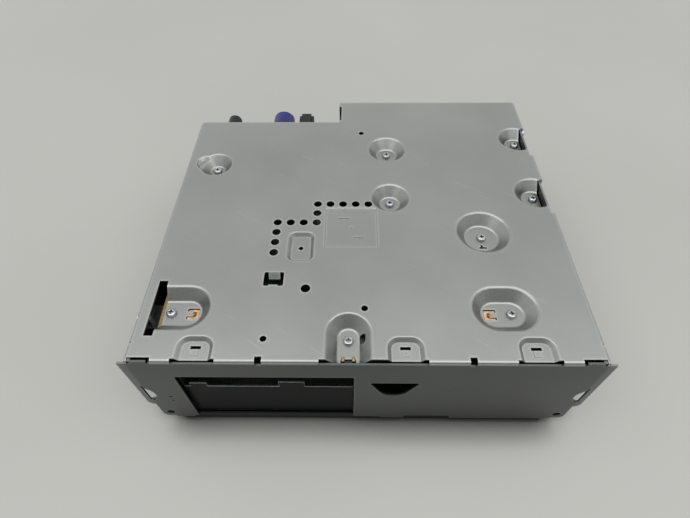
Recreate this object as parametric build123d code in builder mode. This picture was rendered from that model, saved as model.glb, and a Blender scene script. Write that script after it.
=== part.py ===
from build123d import *
import math
import os

# Car head unit without its bezel: a stepped box of pressed steel sheet with the main board hung
# under its cover, a drive bay behind the front window and the power stage in the rear extension.
# X runs to the right as seen from the front, Y to the rear, Z up. Millimetres.

# The case
body_width = 180.0
short_depth = 148.0
long_depth = 167.3
step_window_gap = 8.2
sheet = 0.8
front_height = 53.0
pan_depth = 7.0
bend_radius = 1.2
corner_cut = 1.6
side_gap = 0.7

# Running gap between pieces that move and pieces that don't
clearance = 0.3

# The cover
lip_height = 1.6
flange_drop = 12.0
seat_depth = 5.0
seat_bend_radius = 1.2
dimple_rim_radius = 1.6
small_rim_radius = 0.5
centre_rim_radius = 1.0
dimple_angle = 42.0
screw_hole_radius = 1.7
vent_radius = 1.9
vent_pitch = 6.0

# The front plate
window_inset = 15.6
window_width = 70.2
window_top_drop = 12.7
window_corner = 1.0
window_relief_width = 1.3
window_relief_drop = 49.2
moon_gap = 6.2
moon_top_drop = 17.5
moon_height = 12.1
moon_width = 20.2
moon_shoulder_drop = 8.8
moon_shoulder_inset = 4.7
moon_corner = 0.8
bezel_hole_radius = 1.7
bezel_hole_inset = 3.8
bezel_hole_drop = 49.1
index_hole_inset = 8.8
index_hole_drop = 32.0
index_hole_length = 2.2
index_hole_width = 1.0
index_pin_hole_drop = 35.9
index_pin_hole_radius = 0.6
bottom_tab_drop = 1.2
bottom_tab_inset = 5.5
left_tab_width = 8.0
middle_tab_left = 8.0
middle_tab_width = 10.4
right_tab_left = 39.0
bottom_recess_height = 1.4

# The ears, flanges of the side plates that stand out behind the front plate
ear_reach = 3.6
ear_top_drop = 3.0
ear_corner = 0.8
ear_bottom_drop = 42.0
ear_hole_top_drop = 23.0
ear_hole_height = 14.0
ear_hole_width = 4.6
ear_hole_edge = 2.1
ear_window_length = 24.0

# The bottom pan
pan_side_inset = 5.0
pan_rear_inset = 5.0
pan_draft = 8.0
pan_rim_height = 6.0

# Boards and screws
board_thickness = 1.6
board_margin = 4.5
board_front_gap = 2.2
power_board_drop = 2.0
screw_shank_radius = 1.5
screw_head_radius = 2.6
screw_head_height = 1.6
cover_screw_hole_radius = 1.3
cover_screw_shank_radius = 1.0
cover_screw_head_radius = 2.0
cover_screw_length = 6.5
screw_recess_depth = 0.9
screw_recess_width = 0.6
tab_width = 11.0
post_width = 6.0
side_bolt_radius = 2.5
side_bolt_spacing = 90.0
side_bolt_depth = 30.0
side_bolt_height = 27.0

# The drive bay and its drive
bay_depth = 108.0
bay_wall_gap = 0.6
drive_length = 100.2
drive_height = 9.5
caddy_setback = 2.0
caddy_front_height = 25.8
caddy_floor_lift = 8.6
damper_height = 2.0
damper_radius = 3.6
platter_radius = 32.5
platter_thickness = 0.8
platter_hub_radius = 11.0
drive_wall = 1.2
arm_pivot_radius = 4.0
foot_width = 6.0
rail_width = 3.0
drive_socket_width = 40.0
drive_socket_height = 6.0

# Jacks on the rear wall
jack_length = 20.0
blue_jack_inset = 44.0
blue_jack_radius = 6.15
black_jack_inset = 15.0
black_jack_radius = 3.8
jack_top_drop = 6.0
data_socket_inset = 58.0
data_socket_width = 8.4
data_socket_height = 12.0
data_socket_length = 17.0

# The fan
fan_size = 30.0
fan_depth = 10.0
fan_inset = 19.0
fan_blades = 7
fan_shaft_radius = 1.0
fan_hub_radius = 7.0
grille_rings = 3
grille_bar = 0.8
grille_spoke_width = 2.0

# The main connector and the heat sink in the rear extension
connector_inset = 34.0
connector_width = 52.0
connector_height = 24.0
connector_depth = 22.0
connector_wall = 1.2
connector_pin_setback = 5.0
sink_gap = 3.0
sink_width = 28.0
sink_height = 34.0
sink_fins = 8
sink_fin_thickness = 1.4
vent_slot_width = 2.0
vent_slot_share = 0.7
sink_depth = 16.0
sink_base = 4.0
amplifier_width = 24.0
amplifier_thickness = 4.0
amplifier_height = 16.0
connector_pin_pitch = 4.0
connector_pin_width = 1.2

# What stands on the boards
contact_height = 0.3
pin_height = 3.5
pin_width = 1.3
pin_length = 2.4
processor_size = 21.0
processor_height = 1.6
memory_offset = 28.0
chip_width = 8.0
chip_length = 12.0
chip_height = 1.0
chip_spacing = 2.4
tuner_x = -53.0
tuner_depth = 122.0
tuner_width = 26.0
tuner_length = 20.0
tuner_height = 8.0
jack_block_length = 9.0
jack_bore = 0.8
black_jack_length = 16.0
jack_contact_radius = 0.5
jack_contact_setback = 5.0
latch_height = 1.6
latch_width = 5.5
power_board_bay_gap = 3.8
power_board_front = 8.0
power_board_side = 11.0
power_board_rear = 11.3
power_board_hole_gap = 1.2
capacitor_depth = 122.0
capacitor_radius = 5.0
capacitor_height = 20.0
capacitor_spacing = 2.0
capacitor_count = 4
choke_x = 34.0
choke_depth = 52.0
choke_radius = 10.0
choke_height = 9.0
riser_x = 52.0
riser_depth = 100.0
riser_width = 36.0

# Fan rotor and frame
fan_corner_radius = 3.0
fan_duct_wall = 1.0
fan_hole_inset = 3.0
fan_strut_depth = 2.0
fan_strut_width = 2.0
fan_shaft_gap = 0.05
rotor_length = 6.0
blade_pitch = 35.0
blade_chord = 6.5
blade_thickness = 0.8
blade_root_depth = 0.7

# Caddy and drive details
caddy_tab_offset = 9.7
caddy_tab_width = 10.6
caddy_tab_height = 4.2
caddy_side_tab_offset = -28.7
caddy_side_tab_width = 7.0
caddy_side_tab_height = 2.9
caddy_length = 102.0
drive_hole_x = 58.0
drive_hole_y = 80.0
drive_screw_head = 0.25
case_floor = 1.6
stub_radius = 2.0
stub_height = 4.6
hub_cap = 0.8
platter_lift = 2.0
arm_gap = 0.5
arm_thickness = 0.6
arm_length = 36.0
side_screw_inset = 22.0

# Places worked out from the sizes above
half_width = body_width / 2
body_height = front_height + pan_depth
overall_depth = max(short_depth + jack_length, long_depth)
front_y = -overall_depth / 2
top_z = body_height
under_cover_z = top_z - sheet
front_bottom_z = pan_depth
cover_inner_x = half_width - sheet
side_outer_x = cover_inner_x - side_gap
side_inner_x = side_outer_x - sheet
board_top_z = top_z - seat_depth - sheet
board_bottom_z = board_top_z - board_thickness
window_left = -half_width + window_inset
window_right = window_left + window_width
step_x = window_right - step_window_gap
moon_left = window_right + moon_gap
bezel_hole_x = half_width - bezel_hole_inset
bezel_hole_z = top_z - bezel_hole_drop
window_top_z = top_z - window_top_drop
short_y = front_y + short_depth
long_y = front_y + long_depth
pan_half_width = side_outer_x - pan_side_inset
shelf_z = front_bottom_z + sheet
inner_margin = half_width - side_inner_x
blue_jack_x = -half_width + blue_jack_inset
black_jack_x = -half_width + black_jack_inset
data_socket_x = -half_width + data_socket_inset
blue_jack_z = top_z - jack_top_drop - blue_jack_radius
black_jack_z = top_z - jack_top_drop - black_jack_radius
connector_x = half_width - connector_inset
connector_base = shelf_z
sink_x = connector_x - connector_width / 2 - sink_gap - sink_width / 2
power_board_z = shelf_z - sheet - power_board_drop
sink_pitch = (sink_width - sink_fin_thickness) / (sink_fins - 1)
bay_x = window_left + window_width / 2
bay_inner_width = window_width + 2 * bay_wall_gap
bay_outer_x = bay_x + bay_inner_width / 2 + sheet
power_board_left = bay_outer_x + power_board_bay_gap
power_board_width = half_width - power_board_side - power_board_left
power_board_length = long_depth - power_board_front - power_board_rear
bay_roof_z = window_top_z
bay_front_y = front_y + 4 * sheet
bay_length = bay_depth - 4 * sheet
caddy_width = window_width - 2 * clearance
caddy_floor_z = caddy_floor_lift
drive_z = caddy_floor_z + sheet + damper_height
drive_front_y = front_y + caddy_setback + sheet + clearance
drive_rear_y = drive_front_y + drive_length
drive_socket_z = drive_z + drive_height / 2
platter_z = drive_z + case_floor + platter_lift
arm_pivot_x = bay_x + caddy_width / 2 - drive_wall - arm_pivot_radius - 2 * clearance
arm_pivot_y = drive_front_y + 3 * arm_pivot_radius
fan_x = -half_width + fan_inset
fan_duct_radius = fan_size / 2 - fan_duct_wall
fan_hole_spacing = fan_size - 2 * fan_hole_inset
grille_pitch = (fan_duct_radius - fan_hub_radius) / grille_rings
fan_front_y = short_y - sheet - fan_depth
fan_centre_height = shelf_z + fan_size / 2
sink_rear_y = long_y - 2 * sheet - clearance
rotor_front_y = fan_front_y + fan_strut_depth + clearance

os.makedirs("parts", exist_ok=True)


def case_outline(side, front, rear, step):
    """The stepped outline of the case, drawn in by its own margin on each side."""
    with BuildLine() as outline:
        Polyline(
            (-half_width + side, front_y + front),
            (half_width - side, front_y + front),
            (half_width - side, long_y - rear),
            (step_x + step, long_y - rear),
            (step_x + step, short_y - rear),
            (-half_width + side, short_y - rear),
            close=True,
        )
    return outline.line


def finish(piece, name):
    """Label a finished piece and write its file."""
    piece.part.label = name
    export_step(piece.part, f"parts/{name}.step")


# Screw dimples in the cover: centre x, distance behind the front, rim radius
rear_left_inset = 14.7
processor_inset = 35.7
edge_dimple_inset = 6.1
round_dimples = {
    "rear_left": (-half_width + rear_left_inset, 111.6, 8.2),
    "rear_middle": (13.4, 124.0, 9.8),
    "middle": (13.4, 87.2, 9.3),
    "processor": (half_width - processor_inset, 65.1, 12.1),
}
edge_dimples = {
    "edge_rear": (half_width - edge_dimple_inset, 132.8, 9.6),
    "edge_front": (half_width - edge_dimple_inset, 90.7, 10.0),
}
front_dimple_radius = 10.3
front_dimple_depth = 24.0
left_dimple_inset = 18.0
left_screw_shift = 6.6
left_dimple_end_x = -half_width + left_dimple_inset
left_dimple_screw_x = left_dimple_end_x - left_screw_shift
right_dimple_inset = 34.1
right_dimple_stretch = 5.9
right_screw_shift = 3.5
right_dimple_x = half_width - right_dimple_inset
right_dimple_screw_x = right_dimple_x + right_screw_shift
centre_dimple_x = -6.4
centre_dimple_radius = 8.7
centre_dimple_depth = 12.9
centre_screw_depth = 11.4

centre_screw_place = (centre_dimple_x, front_y + centre_screw_depth)
right_screw_place = (right_dimple_screw_x, front_y + front_dimple_depth)
cover_screw_places = [(x, front_y + d) for x, d, r in round_dimples.values()]
cover_screw_places += [(x, front_y + d) for x, d, r in edge_dimples.values()]
cover_screw_places += [
    (left_dimple_screw_x, front_y + front_dimple_depth),
    right_screw_place,
    centre_screw_place,
]
# Posts stand on the pan under these dimples; side tabs and the bay carry the others
post_places = [right_screw_place]
post_places += [
    (round_dimples[name][0], front_y + round_dimples[name][1])
    for name in ("rear_middle", "middle", "processor")
]

# Vent holes climb over the cover in steps: a column, a row, a column and a row
vent_start_x = -39.3
vent_start_depth = 52.6
vent_moves = [(0, 1)] * 3 + [(1, 0)] * 3 + [(0, 1)] * 2 + [(1, 0)] * 4
vent_places = [(vent_start_x, front_y + vent_start_depth)]
for step_right, step_back in vent_moves:
    last_x, last_y = vent_places[-1]
    vent_places.append((last_x + step_right * vent_pitch, last_y + step_back * vent_pitch))

# Plain round holes in the cover: x, distance behind the front, radius
cover_holes = [(0, 137.7, 1.4), (-24.2, 33.4, 2.0), (-38.9, 9.9, 1.3), (0, 23.8, 1.35)]

# Snap recesses for the bezel along the cover's front edge
snap_inset = 25.6
snap_middle_x = 15.2
snap_places = [-half_width + snap_inset, snap_middle_x, half_width - snap_inset]
snap_width = 13.9
snap_depth = 11.0
snap_drop = 1.7
snap_corner = 4.6
snap_slot_width = 4.0
snap_slot_length = 1.3
snap_slot_depth = 6.9
emboss_depth = 4.8
emboss_width = 2.7
emboss_height = 0.25

# The pressed square over the processor
square_x = -5.4
square_depth = 67.9
square_size = 24.0
square_drop = 0.5
square_corner = 0.9
rib_length = 5.0
rib_width = 0.7
rib_height = 0.25
rib_offset_x = 3.3
rib_offset_y = 6.0
square_dot_radius = 0.6

# The small pressed pocket beside the vents
pocket_x = -27.7
pocket_depth = 56.3
pocket_width = 11.6
pocket_length = 16.6
pocket_drop = 1.7
pocket_corner = 3.2
pocket_hole_radius = 1.0

# The lanced window behind the drive bay's roof
lance_x = -37.8
lance_depth = 38.2
lance_width = 8.3
lance_length = 7.1
lance_corner = 0.8
lance_tab_width = 4.9
lance_tab_run = 2.2
lance_stop_width = 3.8
lance_stop_length = 0.6

# The shallow lobe pressed beside the rear left dimple
lobe_offset = 5.6
lobe_rise = 1.6
lobe_radius = 5.0
lobe_drop = 1.5

# Slits along the front bend: centre x and width; and square notches
side_slit_width = 16.6
middle_slit_x = 3.0
middle_slit_width = 40.8
front_slits = [
    (-half_width + snap_inset, side_slit_width),
    (middle_slit_x, middle_slit_width),
    (half_width - snap_inset, side_slit_width),
]
slit_length = 1.5
notch_x = 39.9
notch_width = 2.6
notch_drop = 2.5
corner_slit_width = 8.6
corner_slit_inset = 5.6
corner_slit_length = 1.9
corner_tab_width = 6.2
corner_slit_x = half_width - corner_slit_inset
bend_notch_depth = 7.9
bend_notch_length = 1.3
bend_notch_reach = 1.0

# The slot at the left front dimple's open end
edge_slot_inset = 6.6
edge_slot_x = -half_width + edge_slot_inset
edge_slot_width = 3.6
edge_slot_length = 26.0

# Contact windows in the two front dimples
contact_window = 5.0
contact_window_corner = 0.5
contact_tab_width = 2.4
contact_tab_length = 2.8
left_contact_shift = 2.2
right_contact_shift = 5.1
left_contact_x = left_dimple_end_x + left_contact_shift
right_contact_x = right_dimple_x - right_contact_shift

# The small lanced slot at the edge of the processor dimple's seat
seat_slot_width = 3.2
seat_slot_length = 0.9
seat_slot_offset = 5.5
seat_notch_width = 0.9
seat_notch_length = 1.6

# The hole through the right wall of the middle front dimple
wall_hole_x = -0.9
wall_hole_depth = 12.0
wall_hole_length = 4.2
wall_hole_width = 2.2

# The notch in the left edge of the rear extension
step_notch_front = 150.0
step_notch_length = 13.0
step_notch_width = 1.3

# The notch in front of the middle dimple, with its two pins
centre_notch_width = 5.9
centre_notch_length = 4.0

# Relief cuts in the right bend beside the edge dimples
dimple_edge_gap = 2.8
relief_edge_gap = 1.9
relief_drop = 4.0
relief_behind = 9.5
relief_before = 13.7
relief_share = 1.7
relief_edge_x = half_width - dimple_edge_gap


# Outlines of the deep screw dimples, as they meet the plane that they are pressed from
with BuildSketch() as dimple_outlines:
    for x, depth, radius in [*round_dimples.values(), *edge_dimples.values()]:
        with Locations((x, front_y + depth)):
            Circle(radius)
    with Locations((left_dimple_end_x, front_y + front_dimple_depth)):
        Circle(front_dimple_radius)
        Rectangle(body_width, 2 * front_dimple_radius, align=(Align.MAX, Align.CENTER))
    with Locations((right_dimple_x, front_y + front_dimple_depth)):
        SlotOverall(right_dimple_stretch + 2 * front_dimple_radius, 2 * front_dimple_radius)
    with Locations((centre_dimple_x, front_y + centre_dimple_depth)):
        Circle(centre_dimple_radius)
        Rectangle(2 * centre_dimple_radius, body_width, align=(Align.CENTER, Align.MAX))

# The shallow pressings: drop, centre x, distance behind the front, width, length and corner radius
lobe_x = round_dimples["rear_left"][0] - lobe_offset
lobe_depth = round_dimples["rear_left"][1] + lobe_rise
shallow_pressings = [
    (snap_drop, x, 0, snap_width, 2 * snap_depth, snap_corner) for x in snap_places
]
shallow_pressings += [
    (pocket_drop, pocket_x, pocket_depth, pocket_width, pocket_length, pocket_corner),
    (square_drop, square_x, square_depth, square_size, square_size, square_corner),
]


def side_screw_holes(depth, radius):
    """Cutters for the screws of the right-hand side wall of the given depth."""
    with BuildPart() as cutters:
        with BuildSketch(Plane.YZ.offset(side_inner_x - sheet)):
            with Locations(
                (front_y + side_screw_inset, top_z - flange_drop / 2),
                (front_y + depth - side_screw_inset, top_z - flange_drop / 2),
            ):
                Circle(radius)
        extrude(amount=inner_margin + 2 * sheet)
    return cutters.part


def pressings(plane_z, seat_bend):
    """The solid that the press sinks into the sheet, measured from one of its two faces."""
    with BuildPart() as pressing:
        with BuildSketch(Plane.XY.offset(plane_z)):
            add(dimple_outlines.sketch)
        extrude(amount=-seat_depth, taper=dimple_angle)
        fillet(pressing.edges().group_by(Axis.Z)[0], seat_bend)
        with BuildSketch(Plane.XY.offset(plane_z)):
            with Locations((lobe_x, front_y + lobe_depth)):
                Circle(lobe_radius)
        extrude(amount=-lobe_drop, taper=dimple_angle)
        for drop, x, depth, width, length, corner in shallow_pressings:
            with BuildSketch(Plane.XY.offset(plane_z)):
                with Locations((x, front_y + depth)):
                    RectangleRounded(width, length, corner)
            extrude(amount=-drop, taper=dimple_angle)
        with BuildSketch(Plane.XY.offset(plane_z)):
            with Locations((edge_slot_x - edge_slot_width / 2, front_y)):
                Rectangle(
                    relief_edge_x - edge_slot_x + edge_slot_width / 2,
                    long_depth,
                    align=(Align.MIN, Align.MIN),
                )
        extrude(amount=-2 * seat_depth, mode=Mode.INTERSECT)
    return pressing.part


# Pressed steel cover: plate, side flanges, front lip and all its pressings
with BuildPart() as top_cover:
    with BuildSketch(Plane.XY.offset(top_z)) as cover_outline:
        make_face(case_outline(0, 0, 0, 0))
        rear_corners = cover_outline.vertices().filter_by_position(
            Axis.X, step_x + body_width / 4, half_width
        )
        chamfer(rear_corners.sort_by(Axis.Y)[-1], corner_cut)
        left_corners = cover_outline.vertices().filter_by_position(Axis.X, -half_width, step_x - 1)
        chamfer(left_corners.sort_by(Axis.Y)[-1], corner_cut)
    extrude(amount=-flange_drop)
    top_edges = top_cover.faces().sort_by(Axis.Z)[-1].edges()
    side_edges = top_edges.filter_by(Axis.Y).sort_by(Axis.X)
    front_edge = top_edges.filter_by(Axis.X).sort_by(Axis.Y)[0]
    fillet([side_edges[0], side_edges[-1], front_edge], bend_radius)
    with BuildSketch(Plane.XY.offset(under_cover_z)):
        with Locations((0, front_y)):
            Rectangle(2 * cover_inner_x, 3 * long_depth)
    extrude(amount=-flange_drop, mode=Mode.SUBTRACT)
    with BuildSketch(Plane.XY.offset(top_z - lip_height)):
        with Locations((0, front_y)):
            Rectangle(2 * body_width, 2 * snap_depth)
    extrude(amount=-flange_drop, mode=Mode.SUBTRACT)
    with BuildSketch(Plane.XY.offset(under_cover_z)):
        with Locations((0, front_y + sheet / 2)):
            Rectangle(2 * cover_inner_x, sheet)
    extrude(amount=-(lip_height - sheet))
    add(pressings(under_cover_z, seat_bend_radius + sheet))
    add(pressings(top_z, seat_bend_radius), mode=Mode.SUBTRACT)
    # Rounded rims where the sheet turns down into the pressings
    for low, high, rim_radius in (
        (0, lobe_radius - clearance, small_rim_radius),
        (lobe_radius - clearance, centre_dimple_radius + clearance, centre_rim_radius),
        (centre_dimple_radius + clearance, body_width, dimple_rim_radius),
    ):
        plate = top_cover.faces().filter_by(Plane.XY).sort_by(Axis.Z)[-1]
        arcs = plate.edges().filter_by(GeomType.CIRCLE)
        fillet(arcs.filter_by(lambda arc: low < arc.radius < high), rim_radius)
    # Everything punched through: screw holes, vents, slits, slots and windows
    with BuildSketch(Plane.XY.offset(top_z + sheet)):
        with Locations(cover_screw_places):
            Circle(cover_screw_hole_radius)
        with Locations(vent_places):
            Circle(vent_radius)
        for x, depth, radius in cover_holes:
            with Locations((x, front_y + depth)):
                Circle(radius)
        with Locations((pocket_x, front_y + pocket_depth)):
            Circle(pocket_hole_radius)
        for x, width in front_slits:
            with Locations((x, front_y)):
                Rectangle(width, 2 * slit_length)
        with Locations((-notch_x, front_y), (notch_x, front_y)):
            Rectangle(notch_width, 2 * notch_drop)
        with Locations((-corner_slit_x, front_y), (corner_slit_x, front_y)):
            Rectangle(corner_slit_width, 2 * corner_slit_length)
        with Locations(
            (-half_width, front_y + bend_notch_depth), (half_width, front_y + bend_notch_depth)
        ):
            Rectangle(2 * bend_notch_reach, bend_notch_length)
        with Locations((edge_slot_x, front_y + front_dimple_depth)):
            Rectangle(edge_slot_width, edge_slot_length)
        with Locations(
            (left_contact_x, front_y + front_dimple_depth),
            (right_contact_x, front_y + front_dimple_depth),
        ):
            RectangleRounded(contact_window, contact_window, contact_window_corner)
        # The lanced slot at the edge of the processor dimple's seat, and the wall hole
        seat_x, seat_y, seat_radius = round_dimples["processor"]
        with Locations((seat_x, front_y + seat_y - seat_slot_offset)):
            Rectangle(seat_slot_width, seat_slot_length)
            Rectangle(seat_notch_width, seat_notch_length, align=(Align.MAX, Align.MIN))
        with Locations((wall_hole_x, front_y + wall_hole_depth)):
            SlotOverall(wall_hole_length, wall_hole_width, rotation=90)
        with Locations((step_x, front_y + step_notch_front)):
            Rectangle(
                2 * step_notch_width, step_notch_length, align=(Align.CENTER, Align.MIN)
            )
        with Locations((centre_dimple_x, front_y)):
            Rectangle(centre_notch_width, 2 * centre_notch_length)
        for x in snap_places:
            with Locations((x, front_y + snap_slot_depth)):
                Rectangle(snap_slot_width, snap_slot_length)
        with Locations((lance_x, front_y + lance_depth)):
            RectangleRounded(lance_width, lance_length, lance_corner)
    extrude(amount=-3 * seat_depth, mode=Mode.SUBTRACT)
    for x, depth, radius in edge_dimples.values():
        with BuildSketch(Plane.XY.offset(top_z + sheet)):
            with Locations((half_width - relief_edge_gap, front_y + depth - relief_before)):
                Rectangle(
                    body_width, relief_before + relief_behind, align=(Align.MIN, Align.MIN)
                )
            with Locations((relief_edge_x, front_y + depth)):
                Rectangle(body_width, relief_share * radius, align=(Align.MIN, Align.CENTER))
        extrude(amount=-relief_drop - sheet, mode=Mode.SUBTRACT)
    add(side_screw_holes(long_depth, screw_hole_radius), mode=Mode.SUBTRACT)
    add(mirror(side_screw_holes(short_depth, screw_hole_radius), Plane.YZ), mode=Mode.SUBTRACT)
    # The lanced tab slopes down from the rear edge of its window, and a stop stands at the front
    tab_root_y = front_y + lance_depth + lance_length / 2
    with BuildSketch(Plane.YZ.offset(lance_x - lance_tab_width / 2)):
        with BuildLine():
            Polyline(
                (tab_root_y, top_z),
                (tab_root_y - lance_tab_run, top_z - lance_tab_run),
                (tab_root_y - lance_tab_run, under_cover_z - lance_tab_run),
                (tab_root_y, under_cover_z),
                close=True,
            )
        make_face()
    extrude(amount=lance_tab_width)
    with BuildSketch(Plane.XY.offset(top_z)):
        with Locations((lance_x, front_y + lance_depth - lance_length / 2)):
            Rectangle(lance_stop_width, lance_stop_length, align=(Align.CENTER, Align.MIN))
    extrude(amount=-sheet)
    # Tabs that reach into the contact windows from the screws' side
    with BuildSketch(Plane.XY.offset(top_z - seat_depth)):
        with Locations((left_contact_x - contact_window / 2, front_y + front_dimple_depth)):
            Rectangle(contact_tab_length, contact_tab_width, align=(Align.MIN, Align.CENTER))
        with Locations((right_contact_x + contact_window / 2, front_y + front_dimple_depth)):
            Rectangle(contact_tab_length, contact_tab_width, align=(Align.MAX, Align.CENTER))
    extrude(amount=-sheet / 2)
    # Embossed squares in front of the snap slots, and the ribs and dot on the pressed square
    with BuildSketch(Plane.XY.offset(top_z - snap_drop)):
        for x in snap_places:
            with Locations((x, front_y + emboss_depth)):
                RectangleRounded(emboss_width, emboss_width, sheet / 2)
    extrude(amount=emboss_height)
    with BuildSketch(Plane.XY.offset(top_z - square_drop)):
        with Locations((square_x, front_y + square_depth)):
            Circle(square_dot_radius)
        with Locations(
            (square_x - rib_offset_x, front_y + square_depth + rib_offset_y),
            (square_x + rib_offset_x, front_y + square_depth - rib_offset_y),
        ):
            SlotOverall(rib_length, rib_width)
    extrude(amount=rib_height)
finish(top_cover, "top_cover")


# The D-shaped hole of the right ear, straight outside and round inside; the left one mirrors it
ear_hole_outer_x = half_width + ear_reach - ear_hole_edge
ear_hole_middle_z = top_z - ear_hole_top_drop - ear_hole_height / 2
with BuildSketch(Plane.XZ) as right_ear_hole:
    with BuildLine():
        upper = (ear_hole_outer_x, ear_hole_middle_z + ear_hole_height / 2)
        lower = (ear_hole_outer_x, ear_hole_middle_z - ear_hole_height / 2)
        Line(lower, upper)
        ThreePointArc(upper, (ear_hole_outer_x - ear_hole_width, ear_hole_middle_z), lower)
    make_face()


def ear_holes():
    """Both D-shaped holes as prisms that run from the front through the ears."""
    with BuildPart() as holes:
        with BuildSketch(Plane.XZ.offset(-front_y + sheet)):
            add(right_ear_hole.sketch)
        extrude(amount=-4 * sheet)
        mirror(about=Plane.YZ)
    return holes.part


# Front plate with the drive window and the curved cut-out beside it
with BuildPart() as front_plate:
    with BuildSketch(Plane.XZ.offset(-front_y)) as plate_outline:
        with Locations((0, front_bottom_z)):
            Rectangle(body_width, front_height - lip_height, align=(Align.CENTER, Align.MIN))
        chamfer(plate_outline.vertices().group_by(Axis.Y)[0], corner_cut)
        # Tabs and a recess along the bottom edge
        for left, right in (
            (-half_width + bottom_tab_inset, -half_width + bottom_tab_inset + left_tab_width),
            (middle_tab_left, middle_tab_left + middle_tab_width),
            (right_tab_left, half_width - bottom_tab_inset),
        ):
            with Locations((left, front_bottom_z + corner_cut)):
                Rectangle(
                    right - left, corner_cut + bottom_tab_drop, align=(Align.MIN, Align.MAX)
                )
        with Locations((middle_tab_left + middle_tab_width, front_bottom_z)):
            Rectangle(
                right_tab_left - middle_tab_left - middle_tab_width,
                2 * bottom_recess_height,
                align=(Align.MIN, Align.CENTER),
                mode=Mode.SUBTRACT,
            )
        with Locations((window_left + window_width / 2, window_top_z - body_height / 2)):
            RectangleRounded(window_width, body_height, window_corner, mode=Mode.SUBTRACT)
        with Locations((window_right, top_z - window_relief_drop)):
            Rectangle(2 * window_relief_width, sheet, mode=Mode.SUBTRACT)
        with Locations((-notch_x, top_z), (notch_x, top_z)):
            Rectangle(notch_width, 2 * notch_drop, mode=Mode.SUBTRACT)
        with Locations((-bezel_hole_x, bezel_hole_z), (bezel_hole_x, bezel_hole_z)):
            Circle(bezel_hole_radius, mode=Mode.SUBTRACT)
        with Locations((-half_width + index_hole_inset, top_z - index_hole_drop)):
            SlotOverall(index_hole_length, index_hole_width, mode=Mode.SUBTRACT)
        with Locations((-half_width + index_hole_inset, top_z - index_pin_hole_drop)):
            Circle(index_pin_hole_radius, mode=Mode.SUBTRACT)
    extrude(amount=-sheet)
    # The curved cut-out: straight above, with slanted sides that run into an arc below
    with BuildSketch(Plane.XZ.offset(-front_y)) as moon:
        with BuildLine():
            moon_top = top_z - moon_top_drop
            moon_right = moon_left + moon_width
            left_shoulder = (moon_left + moon_shoulder_inset, moon_top - moon_shoulder_drop)
            right_shoulder = (moon_right - moon_shoulder_inset, moon_top - moon_shoulder_drop)
            Polyline(left_shoulder, (moon_left, moon_top), (moon_right, moon_top), right_shoulder)
            ThreePointArc(
                left_shoulder,
                (moon_left + moon_width / 2, moon_top - moon_height),
                right_shoulder,
            )
        make_face()
        fillet(moon.vertices().group_by(Axis.Y)[-1], moon_corner)
    extrude(amount=-sheet, mode=Mode.SUBTRACT)
    # Tabs that stand up into the cover's corner slits
    with BuildSketch(Plane.XZ.offset(-front_y)):
        with Locations((-corner_slit_x, top_z), (corner_slit_x, top_z)):
            Rectangle(corner_tab_width, 2 * lip_height, align=(Align.CENTER, Align.MAX))
    extrude(amount=-sheet)
    add(ear_holes(), mode=Mode.SUBTRACT)
finish(front_plate, "front_plate")


def side_plate(depth, tab_places):
    """A right-hand side wall of the given depth: ear, screw tabs and threaded side holes."""
    with BuildPart() as wall:
        with BuildSketch(Plane.YZ.offset(side_inner_x)):
            with Locations((front_y + sheet, front_bottom_z)):
                Rectangle(
                    depth - 2 * sheet, under_cover_z - front_bottom_z, align=(Align.MIN, Align.MIN)
                )
            for place in (side_bolt_depth, side_bolt_depth + side_bolt_spacing):
                with Locations((front_y + place, side_bolt_height)):
                    Circle(side_bolt_radius, mode=Mode.SUBTRACT)
            # Window behind the ear's hole
            with Locations((front_y, ear_hole_middle_z)):
                Rectangle(ear_window_length, ear_hole_height + 4 * sheet, mode=Mode.SUBTRACT)
        extrude(amount=sheet)
        with BuildSketch(Plane.XZ.offset(-front_y - sheet)) as ear:
            with Locations((side_inner_x, top_z - ear_top_drop)):
                Rectangle(
                    half_width + ear_reach - side_inner_x,
                    ear_bottom_drop - ear_top_drop,
                    align=(Align.MIN, Align.MAX),
                )
            outer_corners = ear.vertices().group_by(Axis.X)[-1].sort_by(Axis.Y)
            fillet(outer_corners[0], ear_reach - sheet)
            chamfer(outer_corners[-1], ear_corner)
        extrude(amount=-sheet)
        for x, place in tab_places:
            with BuildSketch(Plane.XY.offset(board_bottom_z)):
                with Locations((side_inner_x, front_y + place)):
                    Rectangle(
                        side_inner_x - x + tab_width / 2, tab_width, align=(Align.MAX, Align.CENTER)
                    )
                with Locations((x, front_y + place)):
                    Circle(cover_screw_shank_radius, mode=Mode.SUBTRACT)
            extrude(amount=-2 * sheet)
        add(ear_holes(), mode=Mode.SUBTRACT)
        add(side_screw_holes(depth, screw_shank_radius), mode=Mode.SUBTRACT)
    return wall.part


with BuildPart() as right_side_plate:
    add(side_plate(long_depth, [(x, place) for x, place, r in edge_dimples.values()]))
finish(right_side_plate, "right_side_plate")

with BuildPart() as left_side_plate:
    left_x, left_depth, left_radius = round_dimples["rear_left"]
    left_tabs = [(-left_x, left_depth), (-left_dimple_screw_x, front_dimple_depth)]
    mirror(side_plate(short_depth, left_tabs), about=Plane.YZ)
finish(left_side_plate, "left_side_plate")

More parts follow.
